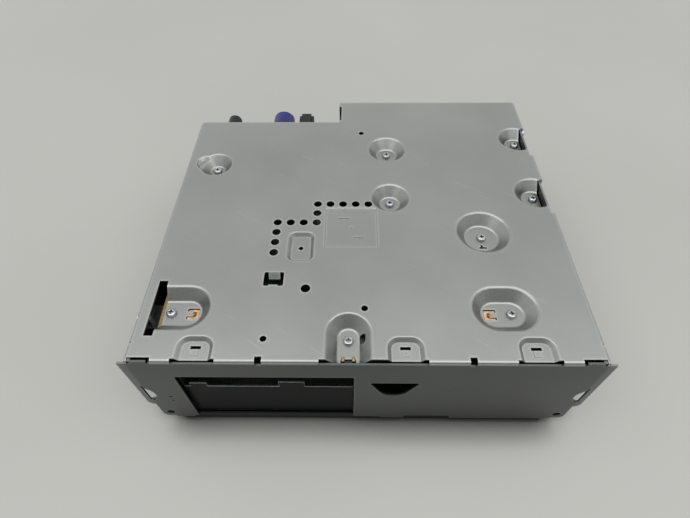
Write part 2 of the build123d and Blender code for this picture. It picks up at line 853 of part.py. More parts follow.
# Stepped rear wall with the grille, the jack holes and the connector opening
with BuildPart() as rear_plate:
    with BuildSketch(Plane.XY.offset(front_bottom_z)):
        with BuildLine():
            Polyline(
                (-side_outer_x, short_y),
                (step_x, short_y),
                (step_x, long_y),
                (side_outer_x, long_y),
                (side_outer_x, long_y - sheet),
                (step_x + sheet, long_y - sheet),
                (step_x + sheet, short_y - sheet),
                (-side_outer_x, short_y - sheet),
                close=True,
            )
        make_face()
    extrude(amount=under_cover_z - front_bottom_z)
    with BuildSketch(Plane.XZ.offset(-short_y - sheet)):
        with Locations((blue_jack_x, blue_jack_z)):
            Circle(blue_jack_radius + 2 * clearance)
        with Locations((black_jack_x, black_jack_z)):
            Circle(black_jack_radius + 2 * clearance)
        with Locations((data_socket_x, top_z - jack_top_drop - data_socket_height / 2)):
            Rectangle(data_socket_width + 2 * clearance, data_socket_height + 2 * clearance)
        with Locations((fan_x, fan_centre_height)):
            with GridLocations(fan_hole_spacing, fan_hole_spacing, 2, 2):
                Circle(screw_hole_radius)
    extrude(amount=3 * sheet, mode=Mode.SUBTRACT)
    # The grille in front of the fan: rings of slots with straight spokes left standing across them
    with BuildSketch(Plane.XZ.offset(-short_y - sheet)):
        with Locations((fan_x, fan_centre_height)):
            for ring in reversed(range(grille_rings)):
                slot_inner_radius = fan_hub_radius + ring * grille_pitch + grille_bar / 2
                Circle(slot_inner_radius + grille_pitch - grille_bar)
                Circle(slot_inner_radius, mode=Mode.SUBTRACT)
            Rectangle(fan_size, grille_spoke_width, mode=Mode.SUBTRACT)
            Rectangle(grille_spoke_width, fan_size, mode=Mode.SUBTRACT)
    extrude(amount=3 * sheet, mode=Mode.SUBTRACT)
    with BuildSketch(Plane.XZ.offset(-long_y - sheet)):
        with Locations((connector_x, connector_base)):
            Rectangle(
                connector_width + 2 * clearance,
                connector_height + clearance,
                align=(Align.CENTER, Align.MIN),
            )
        with Locations((sink_x, connector_base + sink_height / 2)):
            with GridLocations(sink_pitch, 0, sink_fins - 1, 1):
                SlotOverall(vent_slot_share * sink_height, vent_slot_width, rotation=90)
    extrude(amount=3 * sheet, mode=Mode.SUBTRACT)
    # The step's wall is cut down beside the cover's edge notch
    with BuildSketch(Plane.YZ.offset(step_x)):
        with Locations((front_y + step_notch_front, under_cover_z)):
            Rectangle(step_notch_length, 2 * seat_depth, align=(Align.MIN, Align.CENTER))
    extrude(amount=sheet, mode=Mode.SUBTRACT)
finish(rear_plate, "rear_plate")

# Pressed bottom pan: a drawn tray hung from a shelf, with a rim turned up inside the walls
with BuildPart() as bottom_pan:
    with BuildSketch(Plane.XY.offset(front_bottom_z)) as pan_outline:
        make_face(case_outline(half_width - side_inner_x, sheet, sheet, sheet))
    extrude(amount=sheet + pan_rim_height)
    with BuildSketch(Plane.XY.offset(front_bottom_z + sheet)):
        make_face(case_outline(half_width - side_inner_x + sheet, 2 * sheet, 2 * sheet, 2 * sheet))
    extrude(amount=pan_rim_height, mode=Mode.SUBTRACT)
    with BuildSketch(Plane.XY.offset(front_bottom_z)):
        make_face(case_outline(half_width - pan_half_width, sheet, pan_rear_inset, pan_rear_inset))
    extrude(amount=-front_bottom_z, taper=pan_draft)
    with BuildSketch(Plane.XY.offset(front_bottom_z + sheet)):
        make_face(
            case_outline(
                half_width - pan_half_width + sheet,
                2 * sheet,
                pan_rear_inset + sheet,
                pan_rear_inset + sheet,
            )
        )
    extrude(amount=-front_bottom_z, taper=pan_draft, mode=Mode.SUBTRACT)
    # The front rim is cut away at the drive window and around the bezel's screw holes
    with BuildSketch(Plane.XZ.offset(-front_y)):
        with Locations((window_left, front_bottom_z + sheet)):
            Rectangle(window_width, body_height, align=(Align.MIN, Align.MIN))
        with Locations((-bezel_hole_x, bezel_hole_z), (bezel_hole_x, bezel_hole_z)):
            Circle(bezel_hole_radius + clearance)
    extrude(amount=-3 * sheet, mode=Mode.SUBTRACT)
    # and the rear rim behind the fan and the main connector
    for x, width, y in ((fan_x, fan_size, short_y), (connector_x, connector_width, long_y)):
        with BuildSketch(Plane.XZ.offset(-y)):
            with Locations((x, shelf_z)):
                Rectangle(
                    width + 2 * clearance, body_height, align=(Align.CENTER, Align.MIN)
                )
        extrude(amount=3 * sheet, mode=Mode.SUBTRACT)
finish(bottom_pan, "bottom_pan")

# Inverted U that forms the drive bay: roof, walls with rails, feet and a back wall
with BuildPart() as drive_bay:
    with BuildSketch(Plane.XZ.offset(-bay_front_y)) as bay_profile:
        with Locations((bay_x, sheet)):
            Rectangle(bay_inner_width + 2 * sheet, bay_roof_z, align=(Align.CENTER, Align.MIN))
            Rectangle(
                bay_inner_width, bay_roof_z - sheet, align=(Align.CENTER, Align.MIN), mode=Mode.SUBTRACT
            )
            Rectangle(bay_inner_width + 2 * foot_width, sheet, align=(Align.CENTER, Align.MIN))
            Rectangle(
                bay_inner_width, sheet, align=(Align.CENTER, Align.MIN), mode=Mode.SUBTRACT
            )
        # Rails below and above the edges of the caddy's floor
        for rail_z in (caddy_floor_z - clearance - sheet, caddy_floor_z + sheet + clearance):
            with Locations((bay_x, rail_z)):
                Rectangle(bay_inner_width, sheet, align=(Align.CENTER, Align.MIN))
                Rectangle(
                    bay_inner_width - 2 * rail_width,
                    sheet,
                    align=(Align.CENTER, Align.MIN),
                    mode=Mode.SUBTRACT,
                )
    extrude(amount=-bay_length)
    with BuildSketch(Plane.XZ.offset(-bay_front_y - bay_length)):
        with Locations((bay_x, sheet)):
            Rectangle(bay_inner_width + 2 * sheet, bay_roof_z, align=(Align.CENTER, Align.MIN))
        with Locations((bay_x, drive_socket_z)):
            Rectangle(drive_socket_width, drive_socket_height, mode=Mode.SUBTRACT)
    extrude(amount=-sheet)
    with BuildSketch(Plane.XY.offset(bay_roof_z + sheet)):
        with Locations(centre_screw_place):
            Circle(cover_screw_shank_radius)
    extrude(amount=-2 * sheet, mode=Mode.SUBTRACT)
finish(drive_bay, "drive_bay")

# Main board, hung under the cover's screw seats
with BuildPart() as main_board:
    with BuildSketch(Plane.XY.offset(board_bottom_z)):
        make_face(
            case_outline(inner_margin + board_margin, board_front_gap, board_margin, board_margin)
        )
        with Locations(cover_screw_places):
            Circle(cover_screw_hole_radius, mode=Mode.SUBTRACT)
    extrude(amount=board_thickness)
finish(main_board, "main_board")

# Hexagonal posts under the main board: four stand on the pan and a short one on the bay
with BuildPart() as board_posts:
    with BuildSketch(Plane.XY.offset(sheet)):
        with Locations(post_places):
            RegularPolygon(post_width / 2, 6, major_radius=False)
    extrude(amount=board_bottom_z - sheet)
    with BuildSketch(Plane.XY.offset(bay_roof_z + sheet)):
        with Locations(centre_screw_place):
            RegularPolygon(post_width / 2, 6, major_radius=False)
    extrude(amount=board_bottom_z - bay_roof_z - sheet)
    with BuildSketch(Plane.XY.offset(board_bottom_z)):
        with Locations(post_places, centre_screw_place):
            Circle(cover_screw_shank_radius)
    extrude(amount=-cover_screw_length, mode=Mode.SUBTRACT)
finish(board_posts, "board_posts")

# Pan-head screws that hold the cover and the main board
with BuildPart() as cover_screws:
    with BuildSketch(Plane.XY.offset(top_z - seat_depth)):
        with Locations(cover_screw_places):
            Circle(cover_screw_head_radius)
    extrude(amount=screw_head_height)
    fillet(cover_screws.edges().group_by(Axis.Z)[-1], screw_head_height / 2)
    with BuildSketch(Plane.XY.offset(top_z - seat_depth)):
        with Locations(cover_screw_places):
            Circle(cover_screw_shank_radius)
    extrude(amount=-cover_screw_length)
    with BuildSketch(Plane.XY.offset(top_z - seat_depth + screw_head_height)):
        with Locations(cover_screw_places):
            Rectangle(2 * cover_screw_shank_radius, screw_recess_width)
            Rectangle(screw_recess_width, 2 * cover_screw_shank_radius)
    extrude(amount=-screw_recess_depth, mode=Mode.SUBTRACT)
finish(cover_screws, "cover_screws")

# Copper contact pads on the board under the windows of the two front dimples
with BuildPart() as ground_contacts:
    with BuildSketch(Plane.XY.offset(board_top_z)):
        with Locations(
            (left_contact_x, front_y + front_dimple_depth),
            (right_contact_x, front_y + front_dimple_depth),
        ):
            Rectangle(contact_window - 2 * clearance, contact_window - 2 * clearance)
    extrude(amount=contact_height)
finish(ground_contacts, "ground_contacts")

# Two brass guide pins on the board's front edge, in the notch of the middle dimple
with BuildPart() as guide_pins:
    with BuildSketch(Plane.XY.offset(board_top_z)):
        with Locations((centre_dimple_x, front_y + centre_notch_length - clearance)):
            with GridLocations(centre_notch_width - pin_width - 2 * clearance, 0, 2, 1):
                Rectangle(
                    pin_width,
                    min(pin_length, centre_notch_length - board_front_gap),
                    align=(Align.CENTER, Align.MAX),
                )
    extrude(amount=pin_height)
    fillet(guide_pins.edges().group_by(Axis.Z)[-1].filter_by(Axis.Y), pin_width / 3)
finish(guide_pins, "guide_pins")

# Processor under the pressed square, and the pad that carries its heat to the cover
with BuildPart() as processor:
    with BuildSketch(Plane.XY.offset(board_top_z)):
        with Locations((square_x, front_y + square_depth)):
            Rectangle(processor_size, processor_size)
    extrude(amount=processor_height)
    chamfer(processor.edges().group_by(Axis.Z)[-1], processor_height / 4)
finish(processor, "processor")

with BuildPart() as thermal_pad:
    with BuildSketch(Plane.XY.offset(board_top_z + processor_height)):
        with Locations((square_x, front_y + square_depth)):
            Rectangle(processor_size - 2 * processor_height, processor_size - 2 * processor_height)
    extrude(amount=under_cover_z - square_drop - board_top_z - processor_height)
finish(thermal_pad, "thermal_pad")

# Memory chips in two pairs beside the processor
with BuildPart() as memory_chips:
    with BuildSketch(Plane.XY.offset(board_top_z)):
        with Locations((square_x + memory_offset, front_y + square_depth)):
            with GridLocations(chip_width + chip_spacing, chip_length + chip_spacing, 2, 2):
                Rectangle(chip_width, chip_length)
    extrude(amount=chip_height)
finish(memory_chips, "memory_chips")

# Tuner in its shielding can, soldered to the underside of the main board
with BuildPart() as tuner_can:
    with BuildSketch(Plane.XY.offset(board_bottom_z)):
        with Locations((tuner_x, front_y + tuner_depth)):
            RectangleRounded(tuner_width, tuner_length, bend_radius)
    extrude(amount=-tuner_height)
    fillet(tuner_can.edges().group_by(Axis.Z)[0], bend_radius / 2)
finish(tuner_can, "tuner_can")


def jack(x, centre_z, radius, length):
    """Aerial jack: a block under the board and a round shell with a collar in the rear wall."""
    with BuildPart() as shell:
        with BuildSketch(Plane.XZ.offset(-short_y + sheet + jack_block_length)):
            with Locations((x, board_bottom_z)):
                Rectangle(
                    2 * radius,
                    board_bottom_z - centre_z + radius,
                    align=(Align.CENTER, Align.MAX),
                )
        extrude(amount=-jack_block_length)
        with BuildSketch(Plane.XZ.offset(-short_y + sheet)):
            with Locations((x, centre_z)):
                Circle(radius + clearance)
        extrude(amount=-sheet - 2 * clearance)
        with BuildSketch(Plane.XZ.offset(-short_y - 2 * clearance)):
            with Locations((x, centre_z)):
                Circle(radius)
        extrude(amount=-length + 2 * clearance)
        fillet(shell.edges().filter_by(GeomType.CIRCLE).sort_by(Axis.Y)[-1], radius / 8)
        with BuildSketch(Plane.XZ.offset(-short_y - length)):
            with Locations((x, centre_z)):
                Circle(jack_bore * radius)
        extrude(amount=length - clearance, mode=Mode.SUBTRACT)
    return shell.part


with BuildPart() as blue_jack:
    add(jack(blue_jack_x, blue_jack_z, blue_jack_radius, jack_length))
finish(blue_jack, "blue_jack")

with BuildPart() as black_jack:
    add(jack(black_jack_x, black_jack_z, black_jack_radius, black_jack_length))
finish(black_jack, "black_jack")

# Centre contacts of the two jacks
with BuildPart() as jack_contacts:
    for x, z, length in (
        (blue_jack_x, blue_jack_z, jack_length),
        (black_jack_x, black_jack_z, black_jack_length),
    ):
        with BuildSketch(Plane.XZ.offset(-short_y - clearance)):
            with Locations((x, z)):
                Circle(jack_contact_radius)
        extrude(amount=-length + clearance + jack_contact_setback)
finish(jack_contacts, "jack_contacts")

# Rectangular data socket beside the jacks, with its latch tab
with BuildPart() as data_socket:
    socket_top_z = top_z - jack_top_drop
    with BuildSketch(Plane.XZ.offset(-short_y + sheet + jack_block_length)):
        with Locations((data_socket_x, board_bottom_z)):
            Rectangle(
                data_socket_width,
                data_socket_height - socket_top_z + board_bottom_z,
                align=(Align.CENTER, Align.MAX),
            )
    extrude(amount=-jack_block_length - 2 * sheet)
    with BuildSketch(Plane.XZ.offset(-short_y)):
        with Locations((data_socket_x, socket_top_z - latch_height)):
            Rectangle(
                data_socket_width, data_socket_height - latch_height, align=(Align.CENTER, Align.MAX)
            )
        with Locations((data_socket_x, socket_top_z)):
            Rectangle(latch_width, 2 * latch_height, align=(Align.CENTER, Align.MAX))
    extrude(amount=-data_socket_length)
    with BuildSketch(Plane.XZ.offset(-short_y - data_socket_length)):
        with Locations((data_socket_x, socket_top_z - 2 * latch_height)):
            Rectangle(
                data_socket_width - 2 * connector_wall,
                data_socket_height - 2 * latch_height - connector_wall,
                align=(Align.CENTER, Align.MAX),
            )
    extrude(amount=data_socket_length - sheet, mode=Mode.SUBTRACT)
finish(data_socket, "data_socket")

# Power board on the pan floor, with its spacers
with BuildPart() as power_board:
    with BuildSketch(Plane.XY.offset(power_board_z)):
        with Locations((power_board_left, front_y + power_board_front)):
            Rectangle(power_board_width, power_board_length, align=(Align.MIN, Align.MIN))
        with Locations(post_places):
            Circle(post_width / 2 + power_board_hole_gap, mode=Mode.SUBTRACT)
    extrude(amount=board_thickness)
finish(power_board, "power_board")

with BuildPart() as board_spacers:
    with BuildSketch(Plane.XY.offset(sheet)):
        with Locations(
            (
                power_board_left + power_board_width / 2,
                front_y + power_board_front + power_board_length / 2,
            )
        ):
            with GridLocations(
                power_board_width - 2 * post_width, power_board_length - 2 * post_width, 2, 2
            ):
                RegularPolygon(post_width / 2, 6, major_radius=False)
    extrude(amount=power_board_z - sheet)
finish(board_spacers, "board_spacers")

# Smoothing capacitors in a row and the supply choke, on the power board
with BuildPart() as capacitors:
    with BuildSketch(Plane.XY.offset(power_board_z + board_thickness)):
        with Locations((connector_x, front_y + capacitor_depth)):
            with GridLocations(2 * capacitor_radius + capacitor_spacing, 0, capacitor_count, 1):
                Circle(capacitor_radius)
    extrude(amount=capacitor_height)
    fillet(capacitors.edges().group_by(Axis.Z)[-1], capacitor_radius / 6)
finish(capacitors, "capacitors")

with BuildPart() as choke_coil:
    with BuildSketch(Plane.XY.offset(power_board_z + board_thickness)):
        with Locations((choke_x, front_y + choke_depth)):
            Circle(choke_radius)
            Circle(choke_radius / 2, mode=Mode.SUBTRACT)
    extrude(amount=choke_height)
    fillet(choke_coil.edges().filter_by(GeomType.CIRCLE), choke_height / 6)
finish(choke_coil, "choke_coil")

# Finned heat sink in the rear extension, with the amplifier pressed against its base
with BuildPart() as heat_sink:
    with BuildSketch(Plane.XY.offset(shelf_z)):
        with Locations((sink_x, sink_rear_y)):
            Rectangle(sink_width, sink_depth, align=(Align.CENTER, Align.MAX))
            with GridLocations(sink_pitch, 0, sink_fins - 1, 1):
                Rectangle(
                    sink_pitch - sink_fin_thickness,
                    sink_depth - sink_base,
                    align=(Align.CENTER, Align.MAX),
                    mode=Mode.SUBTRACT,
                )
    extrude(amount=sink_height)
finish(heat_sink, "heat_sink")

with BuildPart() as amplifier_chip:
    with BuildSketch(Plane.XY.offset(power_board_z + board_thickness)):
        with Locations((sink_x, sink_rear_y - sink_depth)):
            Rectangle(amplifier_width, amplifier_thickness, align=(Align.CENTER, Align.MAX))
    extrude(amount=amplifier_height)
    chamfer(amplifier_chip.edges().filter_by(Axis.Z), amplifier_thickness / 5)
finish(amplifier_chip, "amplifier_chip")

# Main connector: a body with four chambers that open to the rear, and its pins
chamber_width = (connector_width - 3 * connector_wall) / 2
chamber_height = (connector_height - 3 * connector_wall) / 2
with BuildPart() as main_connector:
    with BuildSketch(Plane.XZ.offset(-long_y + connector_depth)):
        with Locations((connector_x, connector_base + connector_height / 2)):
            Rectangle(connector_width, connector_height)
    extrude(amount=-connector_depth)
    with BuildSketch(Plane.XZ.offset(-long_y)):
        with Locations((connector_x, connector_base + connector_height / 2)):
            with GridLocations(
                chamber_width + connector_wall, chamber_height + connector_wall, 2, 2
            ):
                RectangleRounded(chamber_width, chamber_height, connector_wall / 2)
    extrude(amount=connector_depth - 2 * connector_wall, mode=Mode.SUBTRACT)
finish(main_connector, "main_connector")

with BuildPart() as connector_pins:
    with BuildSketch(Plane.XZ.offset(-long_y + connector_depth - 2 * connector_wall)):
        with Locations((connector_x, connector_base + connector_height / 2)):
            with GridLocations(
                chamber_width + connector_wall, chamber_height + connector_wall, 2, 2
            ):
                with GridLocations(connector_pin_pitch, chamber_height / 2, 4, 2):
                    Rectangle(connector_pin_width, connector_pin_width)
    extrude(amount=-(connector_depth - 2 * connector_wall - connector_pin_setback))
finish(connector_pins, "connector_pins")

# Upright riser board that joins the power board to the main board
with BuildPart() as riser_board:
    with BuildSketch(Plane.XY.offset(power_board_z + board_thickness)):
        with Locations((riser_x, front_y + riser_depth)):
            Rectangle(riser_width, board_thickness)
    extrude(amount=board_bottom_z - power_board_z - board_thickness)
finish(riser_board, "riser_board")

# Fan frame with its round duct and the three struts that carry the motor
with BuildPart() as fan_frame:
    with BuildSketch(Plane.XZ.offset(-fan_front_y)) as fan_face:
        with Locations((fan_x, fan_centre_height)):
            RectangleRounded(fan_size, fan_size, fan_corner_radius)
            Circle(fan_duct_radius, mode=Mode.SUBTRACT)
            with GridLocations(fan_hole_spacing, fan_hole_spacing, 2, 2):
                Circle(screw_shank_radius, mode=Mode.SUBTRACT)
    extrude(amount=-fan_depth)
    with BuildSketch(Plane.XZ.offset(-fan_front_y)):
        with Locations((fan_x, fan_centre_height)):
            Circle(fan_hub_radius)
            with PolarLocations(0, 3, start_angle=90):
                Rectangle(
                    fan_duct_radius + fan_duct_wall / 2,
                    fan_strut_width,
                    align=(Align.MIN, Align.CENTER),
                )
    extrude(amount=-fan_strut_depth)
    with BuildSketch(Plane.XZ.offset(-fan_front_y)):
        with Locations((fan_x, fan_centre_height)):
            Circle(fan_shaft_radius + fan_shaft_gap)
    extrude(amount=-fan_strut_depth, mode=Mode.SUBTRACT)
finish(fan_frame, "fan_frame")

# Fan rotor: cup hub, pitched blades and the shaft that runs in the motor's bore
with BuildPart() as fan_rotor:
    with BuildSketch(Plane.XZ.offset(-rotor_front_y)):
        with Locations((fan_x, fan_centre_height)):
            Circle(fan_hub_radius)
    extrude(amount=-rotor_length)
    fillet(fan_rotor.edges().filter_by(GeomType.CIRCLE).sort_by(Axis.Y)[-1], sheet)
    for blade in range(fan_blades):
        angle = math.radians(blade * 360 / fan_blades)
        pitch = math.radians(blade_pitch)
        blade_plane = Plane(
            origin=(fan_x, rotor_front_y + rotor_length / 2, fan_centre_height),
            x_dir=(math.cos(angle), 0, math.sin(angle)),
            z_dir=(
                -math.sin(angle) * math.cos(pitch),
                math.sin(pitch),
                math.cos(angle) * math.cos(pitch),
            ),
        )
        with BuildSketch(blade_plane):
            with Locations((fan_hub_radius - blade_root_depth, 0)):
                Rectangle(
                    fan_duct_radius - clearance - fan_hub_radius + blade_root_depth,
                    blade_chord,
                    align=(Align.MIN, Align.CENTER),
                )
        extrude(amount=blade_thickness / 2, both=True)
    with BuildSketch(Plane.XZ.offset(-fan_front_y)):
        with Locations((fan_x, fan_centre_height)):
            Circle(fan_shaft_radius)
    extrude(amount=-(rotor_front_y - fan_front_y))
finish(fan_rotor, "fan_rotor")

# Screws that hold the fan to the rear wall
with BuildPart() as fan_screws:
    with BuildSketch(Plane.XZ.offset(-short_y)):
        with Locations((fan_x, fan_centre_height)):
            with GridLocations(fan_hole_spacing, fan_hole_spacing, 2, 2):
                Circle(screw_head_radius)
    extrude(amount=-screw_head_height)
    head_rims = fan_screws.edges().filter_by(GeomType.CIRCLE).group_by(Axis.Y)[-1]
    fillet(head_rims, screw_head_height / 3)
    with BuildSketch(Plane.XZ.offset(-short_y)):
        with Locations((fan_x, fan_centre_height)):
            with GridLocations(fan_hole_spacing, fan_hole_spacing, 2, 2):
                Circle(screw_shank_radius)
    extrude(amount=fan_depth)
finish(fan_screws, "fan_screws")

# Caddy: a sheet tray whose front wall, with its raised tab, shows in the window
with BuildPart() as drive_caddy:
    with BuildSketch(Plane.XZ.offset(-front_y - caddy_setback)):
        with Locations((bay_x, caddy_floor_z)):
            Rectangle(caddy_width, caddy_front_height, align=(Align.CENTER, Align.MIN))
        for offset, width, height in (
            (caddy_tab_offset, caddy_tab_width, caddy_tab_height),
            (caddy_side_tab_offset, caddy_side_tab_width, caddy_side_tab_height),
        ):
            with Locations((bay_x + offset, caddy_floor_z)):
                Rectangle(width, caddy_front_height + height, align=(Align.CENTER, Align.MIN))
    extrude(amount=-sheet)
    with BuildSketch(Plane.XY.offset(caddy_floor_z)):
        with Locations((bay_x, front_y + caddy_setback)):
            Rectangle(caddy_width, caddy_length, align=(Align.CENTER, Align.MIN))
        with Locations((bay_x, front_y + caddy_setback + caddy_length / 2)):
            with GridLocations(drive_hole_x, drive_hole_y, 2, 2):
                Circle(screw_shank_radius, mode=Mode.SUBTRACT)
    extrude(amount=sheet)
finish(drive_caddy, "drive_caddy")

# Rubber mounts between the caddy and the drive, with the screws through them
with BuildPart() as drive_dampers:
    with BuildSketch(Plane.XY.offset(caddy_floor_z + sheet)):
        with Locations((bay_x, front_y + caddy_setback + caddy_length / 2)):
            with GridLocations(drive_hole_x, drive_hole_y, 2, 2):
                Circle(damper_radius)
                Circle(screw_shank_radius, mode=Mode.SUBTRACT)
    extrude(amount=damper_height)
finish(drive_dampers, "drive_dampers")

with BuildPart() as drive_screws:
    with BuildSketch(Plane.XY.offset(caddy_floor_z - drive_screw_head)):
        with Locations((bay_x, front_y + caddy_setback + caddy_length / 2)):
            with GridLocations(drive_hole_x, drive_hole_y, 2, 2):
                Circle(screw_head_radius)
    extrude(amount=drive_screw_head)
    with BuildSketch(Plane.XY.offset(caddy_floor_z)):
        with Locations((bay_x, front_y + caddy_setback + caddy_length / 2)):
            with GridLocations(drive_hole_x, drive_hole_y, 2, 2):
                Circle(screw_shank_radius)
    extrude(amount=sheet + damper_height)
finish(drive_screws, "drive_screws")

# The drive's cast base, its lid, the disk on its hub and the head arm
disk_y = drive_rear_y - drive_wall - platter_radius - 2 * clearance
with BuildPart() as disk_case:
    with BuildSketch(Plane.XY.offset(drive_z)):
        with Locations((bay_x, drive_front_y)):
            Rectangle(caddy_width, drive_length, align=(Align.CENTER, Align.MIN))
    extrude(amount=drive_height - sheet)
    chamfer(disk_case.edges().filter_by(Axis.Z), drive_wall)
    with BuildSketch(Plane.XY.offset(drive_z + case_floor)):
        with Locations((bay_x, drive_front_y + drive_length / 2)):
            RectangleRounded(
                caddy_width - 2 * drive_wall, drive_length - 2 * drive_wall, 2 * drive_wall
            )
    extrude(amount=drive_height, mode=Mode.SUBTRACT)
    # Fixed stubs that carry the disk and the head arm
    with BuildSketch(Plane.XY.offset(drive_z + case_floor)):
        with Locations((bay_x, disk_y), (arm_pivot_x, arm_pivot_y)):
            Circle(stub_radius)
    extrude(amount=stub_height)
finish(disk_case, "disk_case")

with BuildPart() as disk_lid:
    with BuildSketch(Plane.XY.offset(drive_z + drive_height - sheet)):
        with Locations((bay_x, drive_front_y + drive_length / 2)):
            RectangleRounded(caddy_width - clearance, drive_length - clearance, 3 * drive_wall)
    extrude(amount=sheet)
finish(disk_lid, "disk_lid")

with BuildPart() as disk_platter:
    with BuildSketch(Plane.XY.offset(platter_z)):
        with Locations((bay_x, disk_y)):
            Circle(platter_radius)
            Circle(platter_hub_radius, mode=Mode.SUBTRACT)
    extrude(amount=platter_thickness)
finish(disk_platter, "disk_platter")

with BuildPart() as disk_hub:
    with BuildSketch(Plane.XY.offset(drive_z + case_floor + clearance)):
        with Locations((bay_x, disk_y)):
            Circle(platter_hub_radius)
    extrude(amount=stub_height - clearance + hub_cap)
    with BuildSketch(Plane.XY.offset(drive_z + case_floor)):
        with Locations((bay_x, disk_y)):
            Circle(stub_radius + fan_shaft_gap)
    extrude(amount=stub_height + clearance, mode=Mode.SUBTRACT)
finish(disk_hub, "disk_hub")

with BuildPart() as head_arm:
    with BuildSketch(Plane.XY.offset(drive_z + case_floor + clearance)):
        with Locations((arm_pivot_x, arm_pivot_y)):
            Circle(arm_pivot_radius)
            Circle(stub_radius + fan_shaft_gap, mode=Mode.SUBTRACT)
    extrude(amount=stub_height - clearance)
    with BuildSketch(Plane.XY.offset(platter_z + platter_thickness + arm_gap)):
        with BuildLine():
            Polyline(
                (arm_pivot_x - arm_pivot_radius / 2, arm_pivot_y),
                (arm_pivot_x + arm_pivot_radius / 2, arm_pivot_y),
                (arm_pivot_x + sheet, arm_pivot_y + arm_length),
                (arm_pivot_x - sheet, arm_pivot_y + arm_length),
                close=True,
            )
        make_face()
        with Locations((arm_pivot_x, arm_pivot_y)):
            Circle(stub_radius + fan_shaft_gap, mode=Mode.SUBTRACT)
    extrude(amount=arm_thickness)
finish(head_arm, "head_arm")

# Socket on the bay's back wall that the drive plugs into
with BuildPart() as drive_socket:
    with BuildSketch(Plane.XZ.offset(-drive_rear_y - clearance)):
        with Locations((bay_x, drive_socket_z)):
            Rectangle(drive_socket_width - 2 * clearance, drive_socket_height - 2 * clearance)
    extrude(amount=-(bay_front_y + bay_length + sheet - drive_rear_y - clearance))
finish(drive_socket, "drive_socket")

# Self-tapping screws that hold the cover's flanges to the side walls
with BuildPart() as side_screws:
    for x, direction, depth in (
        (-half_width, -1, short_depth),
        (half_width, 1, long_depth),
    ):
        with BuildSketch(Plane.YZ.offset(x)):
            for place in (side_screw_inset, depth - side_screw_inset):
                with Locations((front_y + place, top_z - flange_drop / 2)):
                    Circle(screw_head_radius)
        extrude(amount=direction * screw_head_height)
        with BuildSketch(Plane.YZ.offset(x)):
            for place in (side_screw_inset, depth - side_screw_inset):
                with Locations((front_y + place, top_z - flange_drop / 2)):
                    Circle(screw_shank_radius)
        extrude(amount=-direction * (half_width - side_inner_x + sheet))
finish(side_screws, "side_screws")
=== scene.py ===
import math

import bmesh
import bpy
from mathutils import Matrix, Vector


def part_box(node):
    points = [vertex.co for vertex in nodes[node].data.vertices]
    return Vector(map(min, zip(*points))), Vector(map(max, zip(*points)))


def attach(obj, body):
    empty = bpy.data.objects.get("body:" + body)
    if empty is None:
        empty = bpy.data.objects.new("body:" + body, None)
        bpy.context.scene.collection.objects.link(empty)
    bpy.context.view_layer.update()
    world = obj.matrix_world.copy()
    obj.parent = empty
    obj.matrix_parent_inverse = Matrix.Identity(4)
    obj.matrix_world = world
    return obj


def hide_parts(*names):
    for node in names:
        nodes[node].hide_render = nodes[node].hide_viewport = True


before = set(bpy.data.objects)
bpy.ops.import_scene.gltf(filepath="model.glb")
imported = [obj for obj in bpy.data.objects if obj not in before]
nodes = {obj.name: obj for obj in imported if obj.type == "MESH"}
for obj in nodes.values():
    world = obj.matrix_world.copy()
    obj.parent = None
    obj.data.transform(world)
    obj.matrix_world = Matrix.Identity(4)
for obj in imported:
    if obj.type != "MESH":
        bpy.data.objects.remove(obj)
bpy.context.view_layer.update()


# The photograph's camera. The head unit lies on a bench and is seen from the front and well above, by a
# wide lens held a little to the left of its middle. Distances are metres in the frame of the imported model.
camera_place = Vector((-0.005594, -0.162052, 0.217868))
camera_pitch = math.radians(51.18)
camera_yaw = math.radians(-1.11)
camera_roll = math.radians(0.71)
camera_focal_px = 469.2
photo_width_px = 690

ahead = Vector(
    (
        math.sin(camera_yaw) * math.cos(camera_pitch),
        math.cos(camera_yaw) * math.cos(camera_pitch),
        -math.sin(camera_pitch),
    )
)
level_right = Vector((math.cos(camera_yaw), -math.sin(camera_yaw), 0))
level_down = ahead.cross(level_right)
right = math.cos(camera_roll) * level_right + math.sin(camera_roll) * level_down
down = -math.sin(camera_roll) * level_right + math.cos(camera_roll) * level_down
camera = bpy.data.objects.new("camera", bpy.data.cameras.new("camera"))
bpy.context.scene.collection.objects.link(camera)
camera_turn = Matrix((right, -down, -ahead)).transposed().to_4x4()
camera.matrix_world = Matrix.Translation(camera_place) @ camera_turn
camera.data.lens = camera_focal_px * camera.data.sensor_width / photo_width_px
camera.data.clip_start = 0.01
bpy.context.scene.camera = camera
bpy.context.scene.view_settings.view_transform = "Standard"


# The bench under the head unit: pale grey laminate with a soft satin wear layer, wiped clean. It is not
# part of the object, and takes its shadow.
mm = 0.001


def linear(hex_colour):
    """A colour written as sRGB hex, as the linear red, green, blue and alpha that a shader takes."""
    channels = [int(hex_colour[i : i + 2], 16) / 255 for i in (1, 3, 5)]
    return [c / 12.92 if c <= 0.04045 else ((c + 0.055) / 1.055) ** 2.4 for c in channels] + [1]


def set_sockets(node, sockets):
    """Sets or joins input sockets by name or number. A node given as a value is its first output in use."""
    for socket, value in sockets.items():
        if isinstance(value, bpy.types.Node):
            value = next(output for output in value.outputs if output.enabled)
        if isinstance(value, bpy.types.NodeSocket):
            node.id_data.links.new(value, node.inputs[socket])
        else:
            node.inputs[socket].default_value = value


def add_node(tree, kind, sockets=(), stops=(), **settings):
    """Adds a node with its own settings, its sockets, and a ramp's stops as (place, hex colour) pairs."""
    node = tree.nodes.new("ShaderNode" + kind)
    for setting, value in settings.items():
        setattr(node, setting, value)
    for number, (position, hex_colour) in enumerate(stops):
        node.color_ramp.elements[number].position = position
        node.color_ramp.elements[number].color = linear(hex_colour)
    set_sockets(node, dict(sockets))
    return node


